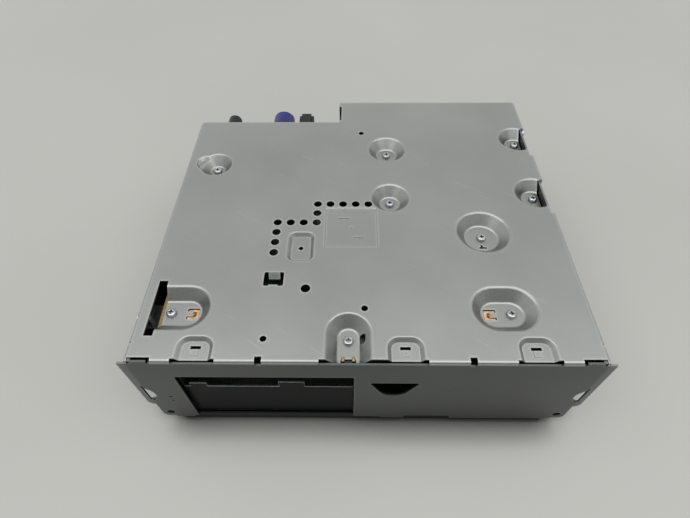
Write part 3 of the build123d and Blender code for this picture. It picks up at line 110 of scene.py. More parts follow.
def start_material(name, **constants):
    """An empty node material with its tree, shader and object coordinates; constants go on sockets."""
    material = bpy.data.materials.new(name)
    material.use_nodes = True
    tree = material.node_tree
    tree.nodes.clear()
    shader = add_node(tree, "BsdfPrincipled")
    for socket, value in constants.items():
        shader.inputs[socket.replace("_", " ")].default_value = value
    add_node(tree, "OutputMaterial", {"Surface": shader})
    place = add_node(tree, "TexCoord").outputs["Object"]
    return material, tree, shader, place


def per_metre(size_mm):
    """A pattern scale whose cells are that many millimetres across."""
    return 1000 / size_mm


laminate, tree, shader, place = start_material("grey laminate bench", Roughness=0.42)
clouds = add_node(tree, "TexNoise", {"Vector": place, "Scale": per_metre(220), "Detail": 3})
bench_grey = add_node(tree, "ValToRGB", {"Fac": clouds}, stops=((0.3, "#B7B7B2"), (0.7, "#BDBDB8")))
# Close against the head unit the bench lies in its contact shadow
contact = add_node(tree, "AmbientOcclusion", {"Distance": 20 * mm}, samples=16).outputs["AO"]
in_the_open = add_node(tree, "MapRange", {"Value": contact, "From Min": 0.42, "From Max": 0.88})
# A colour mix takes its factor on socket 0, and its colours on 6 and 7
shadowed = {0: in_the_open, 6: linear("#3E3E3D"), 7: bench_grey}
bench_colour = add_node(tree, "Mix", shadowed, data_type="RGBA")
orange_peel = add_node(tree, "TexNoise", {"Vector": place, "Scale": per_metre(1.2), "Detail": 2})
relief = add_node(tree, "Bump", {"Height": orange_peel, "Distance": 0.004 * mm})
set_sockets(shader, {"Base Color": bench_colour, "Normal": relief})

bench_half = 3.0
bench_mesh = bpy.data.meshes.new("bench")
bench_mesh.from_pydata(
    [(x * bench_half, y * bench_half, 0) for x, y in ((-1, -1), (1, -1), (1, 1), (-1, 1))],
    [],
    [(0, 1, 2, 3)],
)
bench_mesh.materials.append(laminate)
bench = bpy.data.objects.new("bench", bench_mesh)
bpy.context.scene.collection.objects.link(bench)


# Light: one wide soft box hangs level overhead, as ceiling panels light a bench. Pale walls stand behind
# and beside the bench, and the room in front is dimmer. A matt colour that faces up renders about as it is
# written.
softbox_width = 3.4
softbox_depth = 1.8
softbox_height = 1.7
softbox_behind = -0.45
softbox_watts = 32
softbox = bpy.data.objects.new("softbox", bpy.data.lights.new("softbox", "AREA"))
softbox.data.shape = "RECTANGLE"
softbox.data.size = softbox_width
softbox.data.size_y = softbox_depth
softbox.data.energy = softbox_watts
softbox.location = (0, softbox_behind, softbox_height)
bpy.context.scene.collection.objects.link(softbox)

room = bpy.data.worlds.new("room")
bpy.context.scene.world = room
room.use_nodes = True
tree = room.node_tree
tree.nodes.clear()
rays = add_node(tree, "LightPath")
through = {0: rays.outputs["Is Camera Ray"], 1: rays.outputs["Is Transmission Ray"]}
seen = add_node(tree, "Math", through, operation="MAXIMUM")
direction = add_node(tree, "TexCoord").outputs["Generated"]
rearward = add_node(tree, "SeparateXYZ", {"Vector": direction}).outputs["Y"]
behind = add_node(tree, "MapRange", {"Value": rearward, "From Min": -0.8, "From Max": 0.3})
walls = add_node(tree, "ValToRGB", {"Fac": behind}, stops=((0.0, "#9A9A9A"), (1.0, "#FDFDFD")))
fill = add_node(tree, "Background", {"Color": linear("#A8A8A8"), "Strength": 1.0})
reflected = add_node(tree, "Background", {"Color": walls, "Strength": 1.0})
backdrop = add_node(tree, "Background", {"Color": linear("#C9CAC6"), "Strength": 1.0})
lit = {0: rays.outputs["Is Glossy Ray"], 1: fill, 2: reflected}
room_light = add_node(tree, "MixShader", lit)
mixed = add_node(tree, "MixShader", {0: seen, 1: room_light, 2: backdrop})
add_node(tree, "OutputWorld", {"Surface": mixed})


# Steel case: pan, walls, front plate and drive bay, blanked and bent from 0.8 mm cold-rolled sheet that
# was electro-galvanised at the mill and given a thin clear film against finger marks. The eye sees an
# even satin grey with faint cloudy patches, and lighter lines on bends and edges that are painted highlight.
def galvanised_sheet(name, dark, light, roughness, pale_wear_and_highlight):
    """Electro-galvanised steel sheet with a clear film, between two greys, and a third for scuffs, streaks
    and the painted highlight on rims and edges.
    """
    material, tree, shader, place = start_material(name, Metallic=0.9)
    cloudy = {"Vector": place, "Scale": per_metre(55), "Detail": 3, "Roughness": 0.55}
    clouds = add_node(tree, "TexNoise", cloudy)
    # The zinc's crystals are under 0.1 mm, and are drawn at 0.45 mm so that they show
    crystalline = {"Vector": place, "Scale": per_metre(0.45), "Detail": 3, "Roughness": 0.7}
    crystals = add_node(tree, "TexNoise", crystalline)
    speckle = add_node(tree, "MapRange", {"Value": crystals, "To Max": 0.25})
    tint = add_node(tree, "Math", {0: clouds, 1: 0.75, 2: speckle}, operation="MULTIPLY_ADD")
    grey = add_node(tree, "ValToRGB", {"Fac": tint}, stops=((0.3, dark), (0.72, light)))
    # Painted shade: sheet deep inside the case, closed in within 20 mm, is darkened towards near black
    boxed_in = add_node(tree, "AmbientOcclusion", {"Distance": 20 * mm}, samples=8).outputs["AO"]
    inner_shade_range = {"Value": boxed_in, "From Min": 0.55, "From Max": 0.22, "To Max": 0.95}
    painted_inner_shade = add_node(tree, "MapRange", inner_shade_range)
    grey = add_node(tree, "Mix", {0: painted_inner_shade, 6: grey, 7: linear("#151616")}, data_type="RGBA")
    # Handling leaves a few hair scuffs, drawn some tenths of a millimetre wide so that they show
    slanted = add_node(tree, "Mapping", {"Vector": place, "Rotation": (0.0, 0.0, 0.6)})
    scuff_run = add_node(tree, "Mapping", {"Vector": slanted, "Scale": (0.1, 1.0, 1.0)})
    scuffs = add_node(tree, "TexNoise", {"Vector": scuff_run, "Scale": per_metre(1.6), "Detail": 1})
    sparse = {"Value": scuffs, "From Min": 0.73, "From Max": 0.78, "To Max": 0.07}
    scuff = add_node(tree, "MapRange", sparse)
    grey = add_node(tree, "Mix", {0: scuff, 6: grey, 7: linear(pale_wear_and_highlight)}, data_type="RGBA")
    # Walls of the pressings are streaked downwards, where the sheet slid over the punch
    normal = add_node(tree, "NewGeometry").outputs["Normal"]
    upright = add_node(tree, "SeparateXYZ", {"Vector": normal}).outputs["Z"]
    sloping = add_node(tree, "MapRange", {"Value": upright, "From Min": 0.12, "From Max": 0.3})
    leaning = add_node(tree, "MapRange", {"Value": upright, "From Min": 0.96, "From Max": 0.7})
    drawn = add_node(tree, "Math", {0: sloping, 1: leaning}, operation="MINIMUM")
    down_wall = add_node(tree, "Mapping", {"Vector": place, "Scale": (1.0, 1.0, 0.15)})
    streaks = add_node(tree, "TexNoise", {"Vector": down_wall, "Scale": per_metre(0.9), "Detail": 3})
    faint = {"Value": streaks, "From Min": 0.4, "From Max": 0.75, "To Max": 0.06}
    streak = add_node(tree, "MapRange", faint)
    slid = add_node(tree, "Math", {0: drawn, 1: streak}, operation="MULTIPLY")
    grey = add_node(tree, "Mix", {0: slid, 6: grey, 7: linear(pale_wear_and_highlight)}, data_type="RGBA")
    # How far the surface turns within a millimetre or two: high on rims, bends and cut edges
    rounded = add_node(tree, "Bevel", {"Radius": 0.15 * mm}, samples=4)
    around = add_node(tree, "Bevel", {"Radius": 1.5 * mm}, samples=8)
    turn = add_node(tree, "VectorMath", {0: around, 1: normal}, operation="DOT_PRODUCT")
    turned = {"Value": turn, "From Min": 0.9994, "From Max": 0.985, "To Max": 0.2}
    # Painted highlight: rims, bends and cut edges that turn are mixed towards the pale colour
    painted_edge_highlight = add_node(tree, "MapRange", turned)
    with_edge_highlight = add_node(tree, "Mix", {0: painted_edge_highlight, 6: grey, 7: linear(pale_wear_and_highlight)}, data_type="RGBA")
    satin = {"Value": clouds, "To Min": roughness - 0.04, "To Max": roughness + 0.05}
    gloss = add_node(tree, "MapRange", satin)
    # The mill's grain runs across the case
    along_roll = add_node(tree, "Mapping", {"Vector": place, "Scale": (0.04, 1.0, 1.0)})
    mill_grain = add_node(tree, "TexNoise", {"Vector": along_roll, "Scale": per_metre(0.5), "Detail": 2})
    grain = add_node(tree, "Bump", {"Height": mill_grain, "Distance": 0.0016 * mm, "Normal": rounded})
    relief = add_node(tree, "Bump", {"Height": crystals, "Distance": 0.0022 * mm, "Normal": grain})
    set_sockets(shader, {"Base Color": with_edge_highlight, "Roughness": gloss, "Normal": relief})
    return material


def dress(material, *names):
    """Gives the material to CAD nodes of those names."""
    for name in names:
        for face_slot in nodes[name].material_slots:
            face_slot.material = material


# The case, front, pan and cover sheets are one steel in lit and shaded copies: the front plate's darker grey
# and the bottom pan's near black are painted shade, and the cover's lighter grey (below) is painted light.
case_sheet = galvanised_sheet("galvanised steel, case", "#6A6D6C", "#767978", 0.36, "#B0B3B2")
front_sheet_painted_shade = galvanised_sheet("galvanised steel, front, painted shade", "#4D5050", "#585B5B", 0.32, "#8A8D8C")
pan_sheet_painted_shade = galvanised_sheet("galvanised steel, pan, painted shade", "#1F2122", "#272A2B", 0.46, "#4A4D4D")
dress(case_sheet, "left_side_plate", "right_side_plate", "rear_plate", "drive_bay")
dress(front_sheet_painted_shade, "front_plate")
dress(pan_sheet_painted_shade, "bottom_pan")


# Boards for power, radio and control: 1.6 mm glass-epoxy laminate with a green solder mask over its copper.
# The mask is glossy and darker over bare laminate than over the copper areas, and the sawn edge is straw
# brown with the layers of glass cloth showing.
def circuit_board(name, over_laminate, over_copper, margin_x):
    """Glass-epoxy board with a mask of the two greens, sawn edges, and no mask beyond that x."""
    material, tree, shader, place = start_material(name, Roughness=0.32, IOR=1.52)
    rows = {
        "Vector": place,
        "Scale": per_metre(1.4),
        "Mortar Size": 0.16,
        "Brick Width": 5.5,
        "Row Height": 1.0,
    }
    gaps = add_node(tree, "TexBrick", rows).outputs["Fac"]
    mask = add_node(tree, "ValToRGB", {"Fac": gaps}, stops=((0.0, over_copper), (1.0, over_laminate)))
    # Tinned vias, 0.6 mm across and some 4 mm apart
    vias = add_node(tree, "TexVoronoi", {"Vector": place, "Scale": per_metre(4)})
    via = add_node(tree, "MapRange", {"Value": vias, "From Min": 0.08, "From Max": 0.06})
    dotted = add_node(tree, "Mix", {0: via, 6: mask, 7: linear("#A9A79C")}, data_type="RGBA")
    # The sawn edge, told from the faces by the way it faces
    normal = add_node(tree, "NewGeometry").outputs["Normal"]
    upright = add_node(tree, "SeparateXYZ", {"Vector": normal}).outputs["Z"]
    steep = add_node(tree, "Math", {0: upright}, operation="ABSOLUTE")
    sawn_edge = add_node(tree, "MapRange", {"Value": steep, "From Min": 0.6, "From Max": 0.4})
    across = add_node(tree, "SeparateXYZ", {"Vector": place}).outputs["X"]
    unmasked = {"Value": across, "From Min": margin_x, "From Max": margin_x - 0.1 * mm}
    margin = add_node(tree, "MapRange", unmasked)
    edge = add_node(tree, "Math", {0: sawn_edge, 1: margin}, operation="MAXIMUM")
    layers = {"Vector": place, "Scale": per_metre(1.2), "Distortion": 1.5}
    cloth = add_node(tree, "TexWave", layers, bands_direction="Z").outputs["Fac"]
    straw = add_node(tree, "ValToRGB", {"Fac": cloth}, stops=((0.0, "#8A744B"), (1.0, "#B39B69")))
    sawn = add_node(tree, "Mix", {0: edge, 6: dotted, 7: straw}, data_type="RGBA")
    copper_step = add_node(tree, "MapRange", {"Value": gaps, "From Min": 1.0, "From Max": 0.0})
    relief = add_node(tree, "Bump", {"Height": copper_step, "Distance": 0.035 * mm})
    set_sockets(shader, {"Base Color": sawn, "Normal": relief})
    return material


unmasked_width = 2.8 * mm
board_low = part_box("main_board")[0]
left_margin = board_low.x + unmasked_width
green_board = circuit_board("glass-epoxy board, green mask", "#08170F", "#0E271A", left_margin)
dress(green_board, "power_board", "main_board", "riser_board")


# Steel screws, spacers and posts: turned or headed from wire, zinc plated and passivated. Bright and a
# little blue, with fine scratches from the plating barrel. Hollows such as the drive recesses are darkened,
# partly dirt and partly painted shade.
plated_steel, tree, shader, place = start_material("zinc-plated steel, bright", Metallic=1.0)
blotches = add_node(tree, "TexNoise", {"Vector": place, "Scale": per_metre(2.5), "Detail": 3})
plating = add_node(tree, "ValToRGB", {"Fac": blotches}, stops=((0.3, "#989C9F"), (0.7, "#C3C6C8")))
# Painted shade with dirt: hollows within 0.8 mm of other metal are darkened
hollow = add_node(tree, "AmbientOcclusion", {"Distance": 0.8 * mm}, samples=8).outputs["AO"]
grime_and_painted_shade = add_node(tree, "MapRange", {"Value": hollow, "From Min": 0.85, "From Max": 0.35, "To Max": 0.9})
soiled_and_shaded = add_node(tree, "Mix", {0: grime_and_painted_shade, 6: plating, 7: linear("#2A2A29")}, data_type="RGBA")
gloss = add_node(tree, "MapRange", {"Value": blotches, "To Min": 0.12, "To Max": 0.2})
edges = add_node(tree, "Bevel", {"Radius": 0.2 * mm}, samples=4)
scratches = add_node(tree, "TexNoise", {"Vector": place, "Scale": per_metre(0.35), "Detail": 2})
relief = add_node(tree, "Bump", {"Height": scratches, "Distance": 0.004 * mm, "Normal": edges})
set_sockets(shader, {"Base Color": soiled_and_shaded, "Roughness": gloss, "Normal": relief})
dress(plated_steel, "board_spacers", "board_posts", "cover_screws", "side_screws", "fan_screws")
dress(plated_steel, "drive_screws")


# Four electrolytic capacitors stand on the power board: drawn aluminium cans with a crimp near the foot, in
# a shrunk PVC sleeve that leaves the top bare and carries a pale stripe on the minus side.
round_sides = 48
crease = math.radians(35)


def lathe(name, profile, materials=(0,)):
    """A mesh turned about z from (radius, height) points, with a material number for each stretch."""
    form = bmesh.new()
    rings = []
    for radius, height in profile:
        count = round_sides if radius > 0 else 1
        turns = [2 * math.pi * i / round_sides for i in range(count)]
        rings.append([form.verts.new((radius * math.cos(a), radius * math.sin(a), height)) for a in turns])
    for step, (low, high) in enumerate(zip(rings, rings[1:])):
        for i in range(round_sides):
            j = (i + 1) % round_sides
            corners = [low[i % len(low)], low[j % len(low)], high[j % len(high)], high[i % len(high)]]
            face = form.faces.new(list(dict.fromkeys(corners)))
            face.material_index = materials[step % len(materials)]
            face.smooth = True
    bmesh.ops.recalc_face_normals(form, faces=form.faces)
    mesh = bpy.data.meshes.new(name)
    form.to_mesh(mesh)
    form.free()
    mesh.set_sharp_from_angle(angle=crease)
    return mesh


def new_piece(name, mesh, body, slot, *materials):
    """A piece of that mesh and those materials, which moves with a body. The slot argument is not used."""
    for material in materials:
        mesh.materials.append(material)
    piece = bpy.data.objects.new(name, mesh)
    bpy.context.scene.collection.objects.link(piece)
    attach(piece, body)
    return piece


def join_meshes(name, parts):
    """One mesh of several (mesh, place) pairs."""
    form = bmesh.new()
    for mesh, place in parts:
        copy = mesh.copy()
        copy.transform(Matrix.Translation(place))
        form.from_mesh(copy)
        bpy.data.meshes.remove(copy)
    joined = bpy.data.meshes.new(name)
    form.to_mesh(joined)
    form.free()
    joined.set_sharp_from_angle(angle=crease)
    return joined


def pvc_sleeve(name, dark, light, roughness):
    """Shrunk PVC film, dulled by handling, between the two colours given."""
    material, tree, shader, place = start_material(name, Roughness=roughness, IOR=1.53)
    handling = add_node(tree, "TexNoise", {"Vector": place, "Scale": per_metre(3), "Detail": 4})
    colour = add_node(tree, "ValToRGB", {"Fac": handling}, stops=((0.3, dark), (0.7, light)))
    relief = add_node(tree, "Bump", {"Height": handling, "Distance": 0.02 * mm})
    set_sockets(shader, {"Base Color": colour, "Normal": relief})
    return material


sleeve = pvc_sleeve("PVC sleeve, black", "#15151A", "#22222A", 0.38)
stripe_print = pvc_sleeve("PVC sleeve, pale stripe", "#A6A69E", "#BDBDB6", 0.42)

bare_aluminium, tree, shader, place = start_material("rolled aluminium, bare", Metallic=1.0)
rolled = add_node(tree, "Mapping", {"Vector": place, "Scale": (0.06, 1.0, 1.0)})
rolling = add_node(tree, "TexNoise", {"Vector": rolled, "Scale": per_metre(0.3), "Detail": 2})
colour = add_node(tree, "ValToRGB", {"Fac": rolling}, stops=((0.3, "#A9ABAD"), (0.7, "#C4C6C7")))
gloss = add_node(tree, "MapRange", {"Value": rolling, "To Min": 0.28, "To Max": 0.42})
relief = add_node(tree, "Bump", {"Height": rolling, "Distance": 0.003 * mm})
set_sockets(shader, {"Base Color": colour, "Roughness": gloss, "Normal": relief})

can_low, can_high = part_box("capacitors")
can_radius = (can_high.y - can_low.y) / 2
can_height = can_high.z - can_low.z
can_count = 4
can_pitch = (can_high.x - can_low.x - 2 * can_radius) / (can_count - 1)
foot_round = 0.3 * mm
crimp_height = 2 * mm
crimp_depth = 0.5 * mm
crimp_half = 0.5 * mm
shoulder_round = 0.4 * mm
sleeve_lip = 0.9 * mm
top_drop = 0.3 * mm
can_profile = [
    (0, 0),
    (can_radius - foot_round, 0),
    (can_radius, foot_round),
    (can_radius, crimp_height - crimp_half),
    (can_radius - crimp_depth, crimp_height),
    (can_radius, crimp_height + crimp_half),
    (can_radius, can_height - shoulder_round),
    (can_radius - shoulder_round, can_height),
    (can_radius - sleeve_lip, can_height),
    (can_radius - sleeve_lip, can_height - top_drop),
    (0, can_height - top_drop),
]
sleeve_number = 0
bare_top_number = 1
stripe_number = 2
can_numbers = [sleeve_number] * (len(can_profile) - 2) + [bare_top_number]
can_mesh = lathe("capacitor", can_profile, can_numbers)
stripe_sides = 7
wall_share = 0.8
for side in can_mesh.polygons:
    around = math.atan2(side.center.y, side.center.x)
    in_stripe = abs(around + math.pi / 2) < math.pi * stripe_sides / round_sides
    on_wall = math.hypot(side.center.x, side.center.y) > wall_share * can_radius
    if side.material_index == sleeve_number and in_stripe and on_wall:
        side.material_index = stripe_number
can_places = [
    Vector((can_low.x + can_radius + i * can_pitch, can_low.y + can_radius, can_low.z))
    for i in range(can_count)
]
cans = join_meshes("capacitor_cans", [(can_mesh, place) for place in can_places])
capacitor_cans = new_piece(
    "capacitor_cans", cans, "case", "sleeve_black", sleeve, bare_aluminium, stripe_print
)
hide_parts("capacitors")


# Choke: a pressed ferrite ring wound with 22 turns of enamelled copper wire, its two ends taken straight
# down into the power board.
ferrite, tree, shader, place = start_material("ferrite, pressed and sintered", Roughness=0.6, IOR=1.6)
grit = add_node(tree, "TexNoise", {"Vector": place, "Scale": per_metre(0.6), "Detail": 4})
colour = add_node(tree, "ValToRGB", {"Fac": grit}, stops=((0.3, "#232725"), (0.7, "#363B38")))
relief = add_node(tree, "Bump", {"Height": grit, "Distance": 0.03 * mm})
set_sockets(shader, {"Base Color": colour, "Normal": relief})

enamelled, tree, shader, place = start_material(
    "copper wire, clear enamel", Metallic=1.0, Coat_Weight=0.8, Coat_Roughness=0.08
)
lacquer = add_node(tree, "TexNoise", {"Vector": place, "Scale": per_metre(4), "Detail": 2})
colour = add_node(tree, "ValToRGB", {"Fac": lacquer}, stops=((0.3, "#A3512B"), (0.7, "#C4703F")))
gloss = add_node(tree, "MapRange", {"Value": lacquer, "To Min": 0.24, "To Max": 0.36})
set_sockets(shader, {"Base Color": colour, "Roughness": gloss})

ring_low, ring_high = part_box("choke_coil")
ring_centre = (ring_low + ring_high) / 2
ring_outer = (ring_high.x - ring_low.x) / 2
ring_inner = ring_outer / 2
ring_half_height = (ring_high.z - ring_low.z) / 2
wire_radius = 0.5 * mm
wire_turns = 22
wound_arc = math.radians(310)
core_corner = 0.8 * mm
winding_room = 2 * wire_radius + 0.2 * mm
core_in = ring_inner + winding_room
core_out = ring_outer - winding_room
core_half = ring_half_height - winding_room
core_profile = [
    (core_in, -core_half + core_corner),
    (core_in + core_corner, -core_half),
    (core_out - core_corner, -core_half),
    (core_out, -core_half + core_corner),
    (core_out, core_half - core_corner),
    (core_out - core_corner, core_half),
    (core_in + core_corner, core_half),
    (core_in, core_half - core_corner),
    (core_in, -core_half + core_corner),
]
core = lathe("choke_core", core_profile)
core.transform(Matrix.Translation(ring_centre))
choke_core = new_piece("choke_core", core, "case", "ferrite", ferrite)

winding = bpy.data.curves.new("choke_winding", "CURVE")
winding.dimensions = "3D"
winding.bevel_depth = wire_radius
winding.bevel_resolution = 3
winding.use_fill_caps = True
mean_radius = (ring_inner + ring_outer) / 2
half_span = (ring_outer - ring_inner) / 2 - wire_radius
half_rise = ring_half_height - wire_radius
steps_per_turn = 24
corner_power = 0.45
wire_points = []
for step in range(wire_turns * steps_per_turn + 1):
    loop = 2 * math.pi * step / steps_per_turn
    around = wound_arc * (step / (wire_turns * steps_per_turn) - 0.5) + math.pi / 2
    across = math.copysign(abs(math.cos(loop)) ** corner_power, math.cos(loop)) * half_span
    rise = math.copysign(abs(math.sin(loop)) ** corner_power, math.sin(loop)) * half_rise
    radius = mean_radius + across
    wire_points.append(
        ring_centre + Vector((radius * math.cos(around), radius * math.sin(around), rise))
    )
ends = [Vector((p.x, p.y, ring_low.z)) for p in (wire_points[0], wire_points[-1])]
wire_points = [ends[0]] + wire_points + [ends[1]]
strand = winding.splines.new("POLY")
strand.points.add(len(wire_points) - 1)
for point, place in zip(strand.points, wire_points):
    point.co = (*place, 1)
strand.use_smooth = True
winding.materials.append(enamelled)
choke_winding = bpy.data.objects.new("choke_winding", winding)
bpy.context.scene.collection.objects.link(choke_winding)
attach(choke_winding, "case")
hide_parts("choke_coil")
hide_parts("choke_coil")


# Heat sink of the amplifier, bolted to the rear wall: extruded aluminium in its mill finish. Fine lines run
# up the fins, the way that the metal came out of the die.
extruded, tree, shader, place = start_material("extruded aluminium, mill finish", Metallic=1.0)
along_die = add_node(tree, "Mapping", {"Vector": place, "Scale": (1.0, 1.0, 0.03)})
# Die lines are about 0.1 mm apart, and are drawn at 0.35 mm so that they show
die_lines = add_node(tree, "TexNoise", {"Vector": along_die, "Scale": per_metre(0.35), "Detail": 3})
oxide = add_node(tree, "TexNoise", {"Vector": place, "Scale": per_metre(9), "Detail": 3})
half_oxide = add_node(tree, "MapRange", {"Value": oxide, "To Max": 0.5})
tone = add_node(tree, "Math", {0: die_lines, 1: 0.5, 2: half_oxide}, operation="MULTIPLY_ADD")
colour = add_node(tree, "ValToRGB", {"Fac": tone}, stops=((0.3, "#A4A6A8"), (0.7, "#C3C5C7")))
gloss = add_node(tree, "MapRange", {"Value": oxide, "To Min": 0.3, "To Max": 0.45})
relief = add_node(tree, "Bump", {"Height": die_lines, "Distance": 0.006 * mm})
set_sockets(shader, {"Base Color": colour, "Roughness": gloss, "Normal": relief})
dress(extruded, "heat_sink")


# Amplifier, processor and memory: moulded black epoxy filled with silica. Matt, with a fine speckle from
# the filler and a faint shine where the mould was polished.
moulded_epoxy, tree, shader, place = start_material("moulded epoxy, silica filled", IOR=1.55)
filler = add_node(tree, "TexNoise", {"Vector": place, "Scale": per_metre(0.25), "Detail": 2})
polish = add_node(tree, "TexNoise", {"Vector": place, "Scale": per_metre(7), "Detail": 2})
colour = add_node(tree, "ValToRGB", {"Fac": filler}, stops=((0.3, "#18191B"), (0.7, "#26282A")))
gloss = add_node(tree, "MapRange", {"Value": polish, "To Min": 0.42, "To Max": 0.6})
relief = add_node(tree, "Bump", {"Height": filler, "Distance": 0.008 * mm})
set_sockets(shader, {"Base Color": colour, "Roughness": gloss, "Normal": relief})
dress(moulded_epoxy, "amplifier_chip", "processor", "memory_chips")


# Main connector at the rear, drive socket, fan and black jack: moulded polyamide with short glass fibre.
# The spark-eroded mould leaves a fine even grain, and the glass a faint paler cloudiness.
def moulded_polyamide(name, dark, light, roughness):
    """Moulded glass-filled polyamide between the two colours given."""
    material, tree, shader, place = start_material(name, IOR=1.53, Specular_IOR_Level=0.22)
    flow = add_node(tree, "TexNoise", {"Vector": place, "Scale": per_metre(6), "Detail": 4})
    colour = add_node(tree, "ValToRGB", {"Fac": flow}, stops=((0.3, dark), (0.7, light)))
    satin = {"Value": flow, "To Min": roughness - 0.05, "To Max": roughness + 0.08}
    gloss = add_node(tree, "MapRange", satin)
    # The erosion grain is about 0.05 mm, and is drawn at 0.2 mm so that it shows
    grain = add_node(tree, "TexNoise", {"Vector": place, "Scale": per_metre(0.2), "Detail": 2})
    soft_edges = add_node(tree, "Bevel", {"Radius": 0.2 * mm}, samples=4)
    relief = add_node(tree, "Bump", {"Height": grain, "Distance": 0.006 * mm, "Normal": soft_edges})
    set_sockets(shader, {"Base Color": colour, "Roughness": gloss, "Normal": relief})
    return material


black_polyamide = moulded_polyamide("moulded polyamide, black", "#0D0E0F", "#17181A", 0.36)
dress(black_polyamide, "main_connector", "drive_socket", "data_socket", "black_jack")
dress(black_polyamide, "fan_frame", "fan_rotor")


# Pins of the main connector, contacts of the jacks, and the two pins that guide the missing bezel: drawn
# and turned brass, left bright, with a faint brown tarnish between handled spots.
brass, tree, shader, place = start_material("turned brass, lightly tarnished", Metallic=1.0)
tarnish = add_node(tree, "TexNoise", {"Vector": place, "Scale": per_metre(2.2), "Detail": 4})
colour = add_node(tree, "ValToRGB", {"Fac": tarnish}, stops=((0.35, "#80764C"), (0.65, "#B4A876")))
gloss = add_node(tree, "MapRange", {"Value": tarnish, "To Min": 0.34, "To Max": 0.2})
tool_marks = {"Vector": place, "Scale": per_metre(0.6), "Distortion": 0.6}
turning = add_node(tree, "TexWave", tool_marks, bands_direction="Y").outputs["Fac"]
relief = add_node(tree, "Bump", {"Height": turning, "Distance": 0.004 * mm})
set_sockets(shader, {"Base Color": colour, "Roughness": gloss, "Normal": relief})
dress(brass, "connector_pins", "jack_contacts", "guide_pins")


# Drive caddy: 0.8 mm steel sheet, folded and then black by electro-coating. Satin black with a slight
# orange peel, drawn near black also as painted shade of the dark bay. The cut edges go pale and metallic,
# partly thin coat worn through and partly painted highlight.
black_coat_painted_shade, tree, shader, place = start_material(
    "steel, black electro-coat, painted shade", IOR=1.42, Specular_IOR_Level=0.1
)
peel = add_node(tree, "TexNoise", {"Vector": place, "Scale": per_metre(1.1), "Detail": 2})
patches = add_node(tree, "TexNoise", {"Vector": place, "Scale": per_metre(14), "Detail": 3})
black = add_node(tree, "ValToRGB", {"Fac": patches}, stops=((0.3, "#070809"), (0.7, "#0E0F11")))
normal = add_node(tree, "NewGeometry").outputs["Normal"]
rounded = add_node(tree, "Bevel", {"Radius": 0.5 * mm}, samples=8)
turn = add_node(tree, "VectorMath", {0: rounded, 1: normal}, operation="DOT_PRODUCT")
# Painted highlight with wear: turning edges go to pale bare metal, from a threshold that varies in patches
chip_and_highlight_onset = add_node(tree, "MapRange", {"Value": patches, "To Min": 0.93, "To Max": 0.995})
painted_edge_highlight = add_node(tree, "MapRange", {"Value": turn, "From Min": chip_and_highlight_onset, "From Max": 0.82})
colour = add_node(tree, "Mix", {0: painted_edge_highlight, 6: black, 7: linear("#B9BCBE")}, data_type="RGBA")
gloss = add_node(tree, "MapRange", {"Value": patches, "To Min": 0.32, "To Max": 0.46})
relief = add_node(tree, "Bump", {"Height": peel, "Distance": 0.01 * mm, "Normal": rounded})
set_sockets(shader, {"Base Color": colour, "Metallic": painted_edge_highlight, "Roughness": gloss, "Normal": relief})
dress(black_coat_painted_shade, "drive_caddy")


# Rubber mounts under the drive: moulded nitrile rubber, pushed into the bay's rails. Matt black with a
# little grey bloom.
rubber, tree, shader, place = start_material("nitrile rubber, moulded", Roughness=0.78, IOR=1.52)
bloom = add_node(tree, "TexNoise", {"Vector": place, "Scale": per_metre(1.5), "Detail": 4})
colour = add_node(tree, "ValToRGB", {"Fac": bloom}, stops=((0.35, "#121213"), (0.75, "#242425")))
relief = add_node(tree, "Bump", {"Height": bloom, "Distance": 0.02 * mm})
set_sockets(shader, {"Base Color": colour, "Normal": relief})
dress(rubber, "drive_dampers")


# Body of the hard disk: die-cast aluminium, shot-blasted and then clear coated. Grey, with a fine pitted
# skin.
die_cast, tree, shader, place = start_material("die-cast aluminium, blasted", Metallic=0.85)
pits = add_node(tree, "TexVoronoi", {"Vector": place, "Scale": per_metre(0.5)})
casting = add_node(tree, "TexNoise", {"Vector": place, "Scale": per_metre(12), "Detail": 4})
colour = add_node(tree, "ValToRGB", {"Fac": casting}, stops=((0.3, "#7E8184"), (0.7, "#999B9D")))
gloss = add_node(tree, "MapRange", {"Value": casting, "To Min": 0.42, "To Max": 0.58})
relief = add_node(tree, "Bump", {"Height": pits, "Distance": 0.02 * mm})
set_sockets(shader, {"Base Color": colour, "Roughness": gloss, "Normal": relief})
dress(die_cast, "disk_case")


# Lid of the hard disk: 0.8 mm stainless steel, brushed along its length and screwed down over a gasket.
# The eye sees long hair lines, with duller patches where it was wiped.
brushed_steel, tree, shader, place = start_material("stainless steel, brushed", Metallic=1.0)
along_brush = add_node(tree, "Mapping", {"Vector": place, "Scale": (1.0, 0.02, 1.0)})
# Brush lines are about 0.05 mm apart, and are drawn at 0.25 mm so that they show
brush_lines = add_node(tree, "TexNoise", {"Vector": along_brush, "Scale": per_metre(0.25), "Detail": 3})
wiped = add_node(tree, "TexNoise", {"Vector": place, "Scale": per_metre(25), "Detail": 3})
colour = add_node(tree, "ValToRGB", {"Fac": brush_lines}, stops=((0.3, "#A2A4A4"), (0.7, "#BFC0BF")))
gloss = add_node(tree, "MapRange", {"Value": wiped, "To Min": 0.24, "To Max": 0.38})
relief = add_node(tree, "Bump", {"Height": brush_lines, "Distance": 0.003 * mm})
set_sockets(shader, {"Base Color": colour, "Roughness": gloss, "Normal": relief})
dress(brushed_steel, "disk_lid")


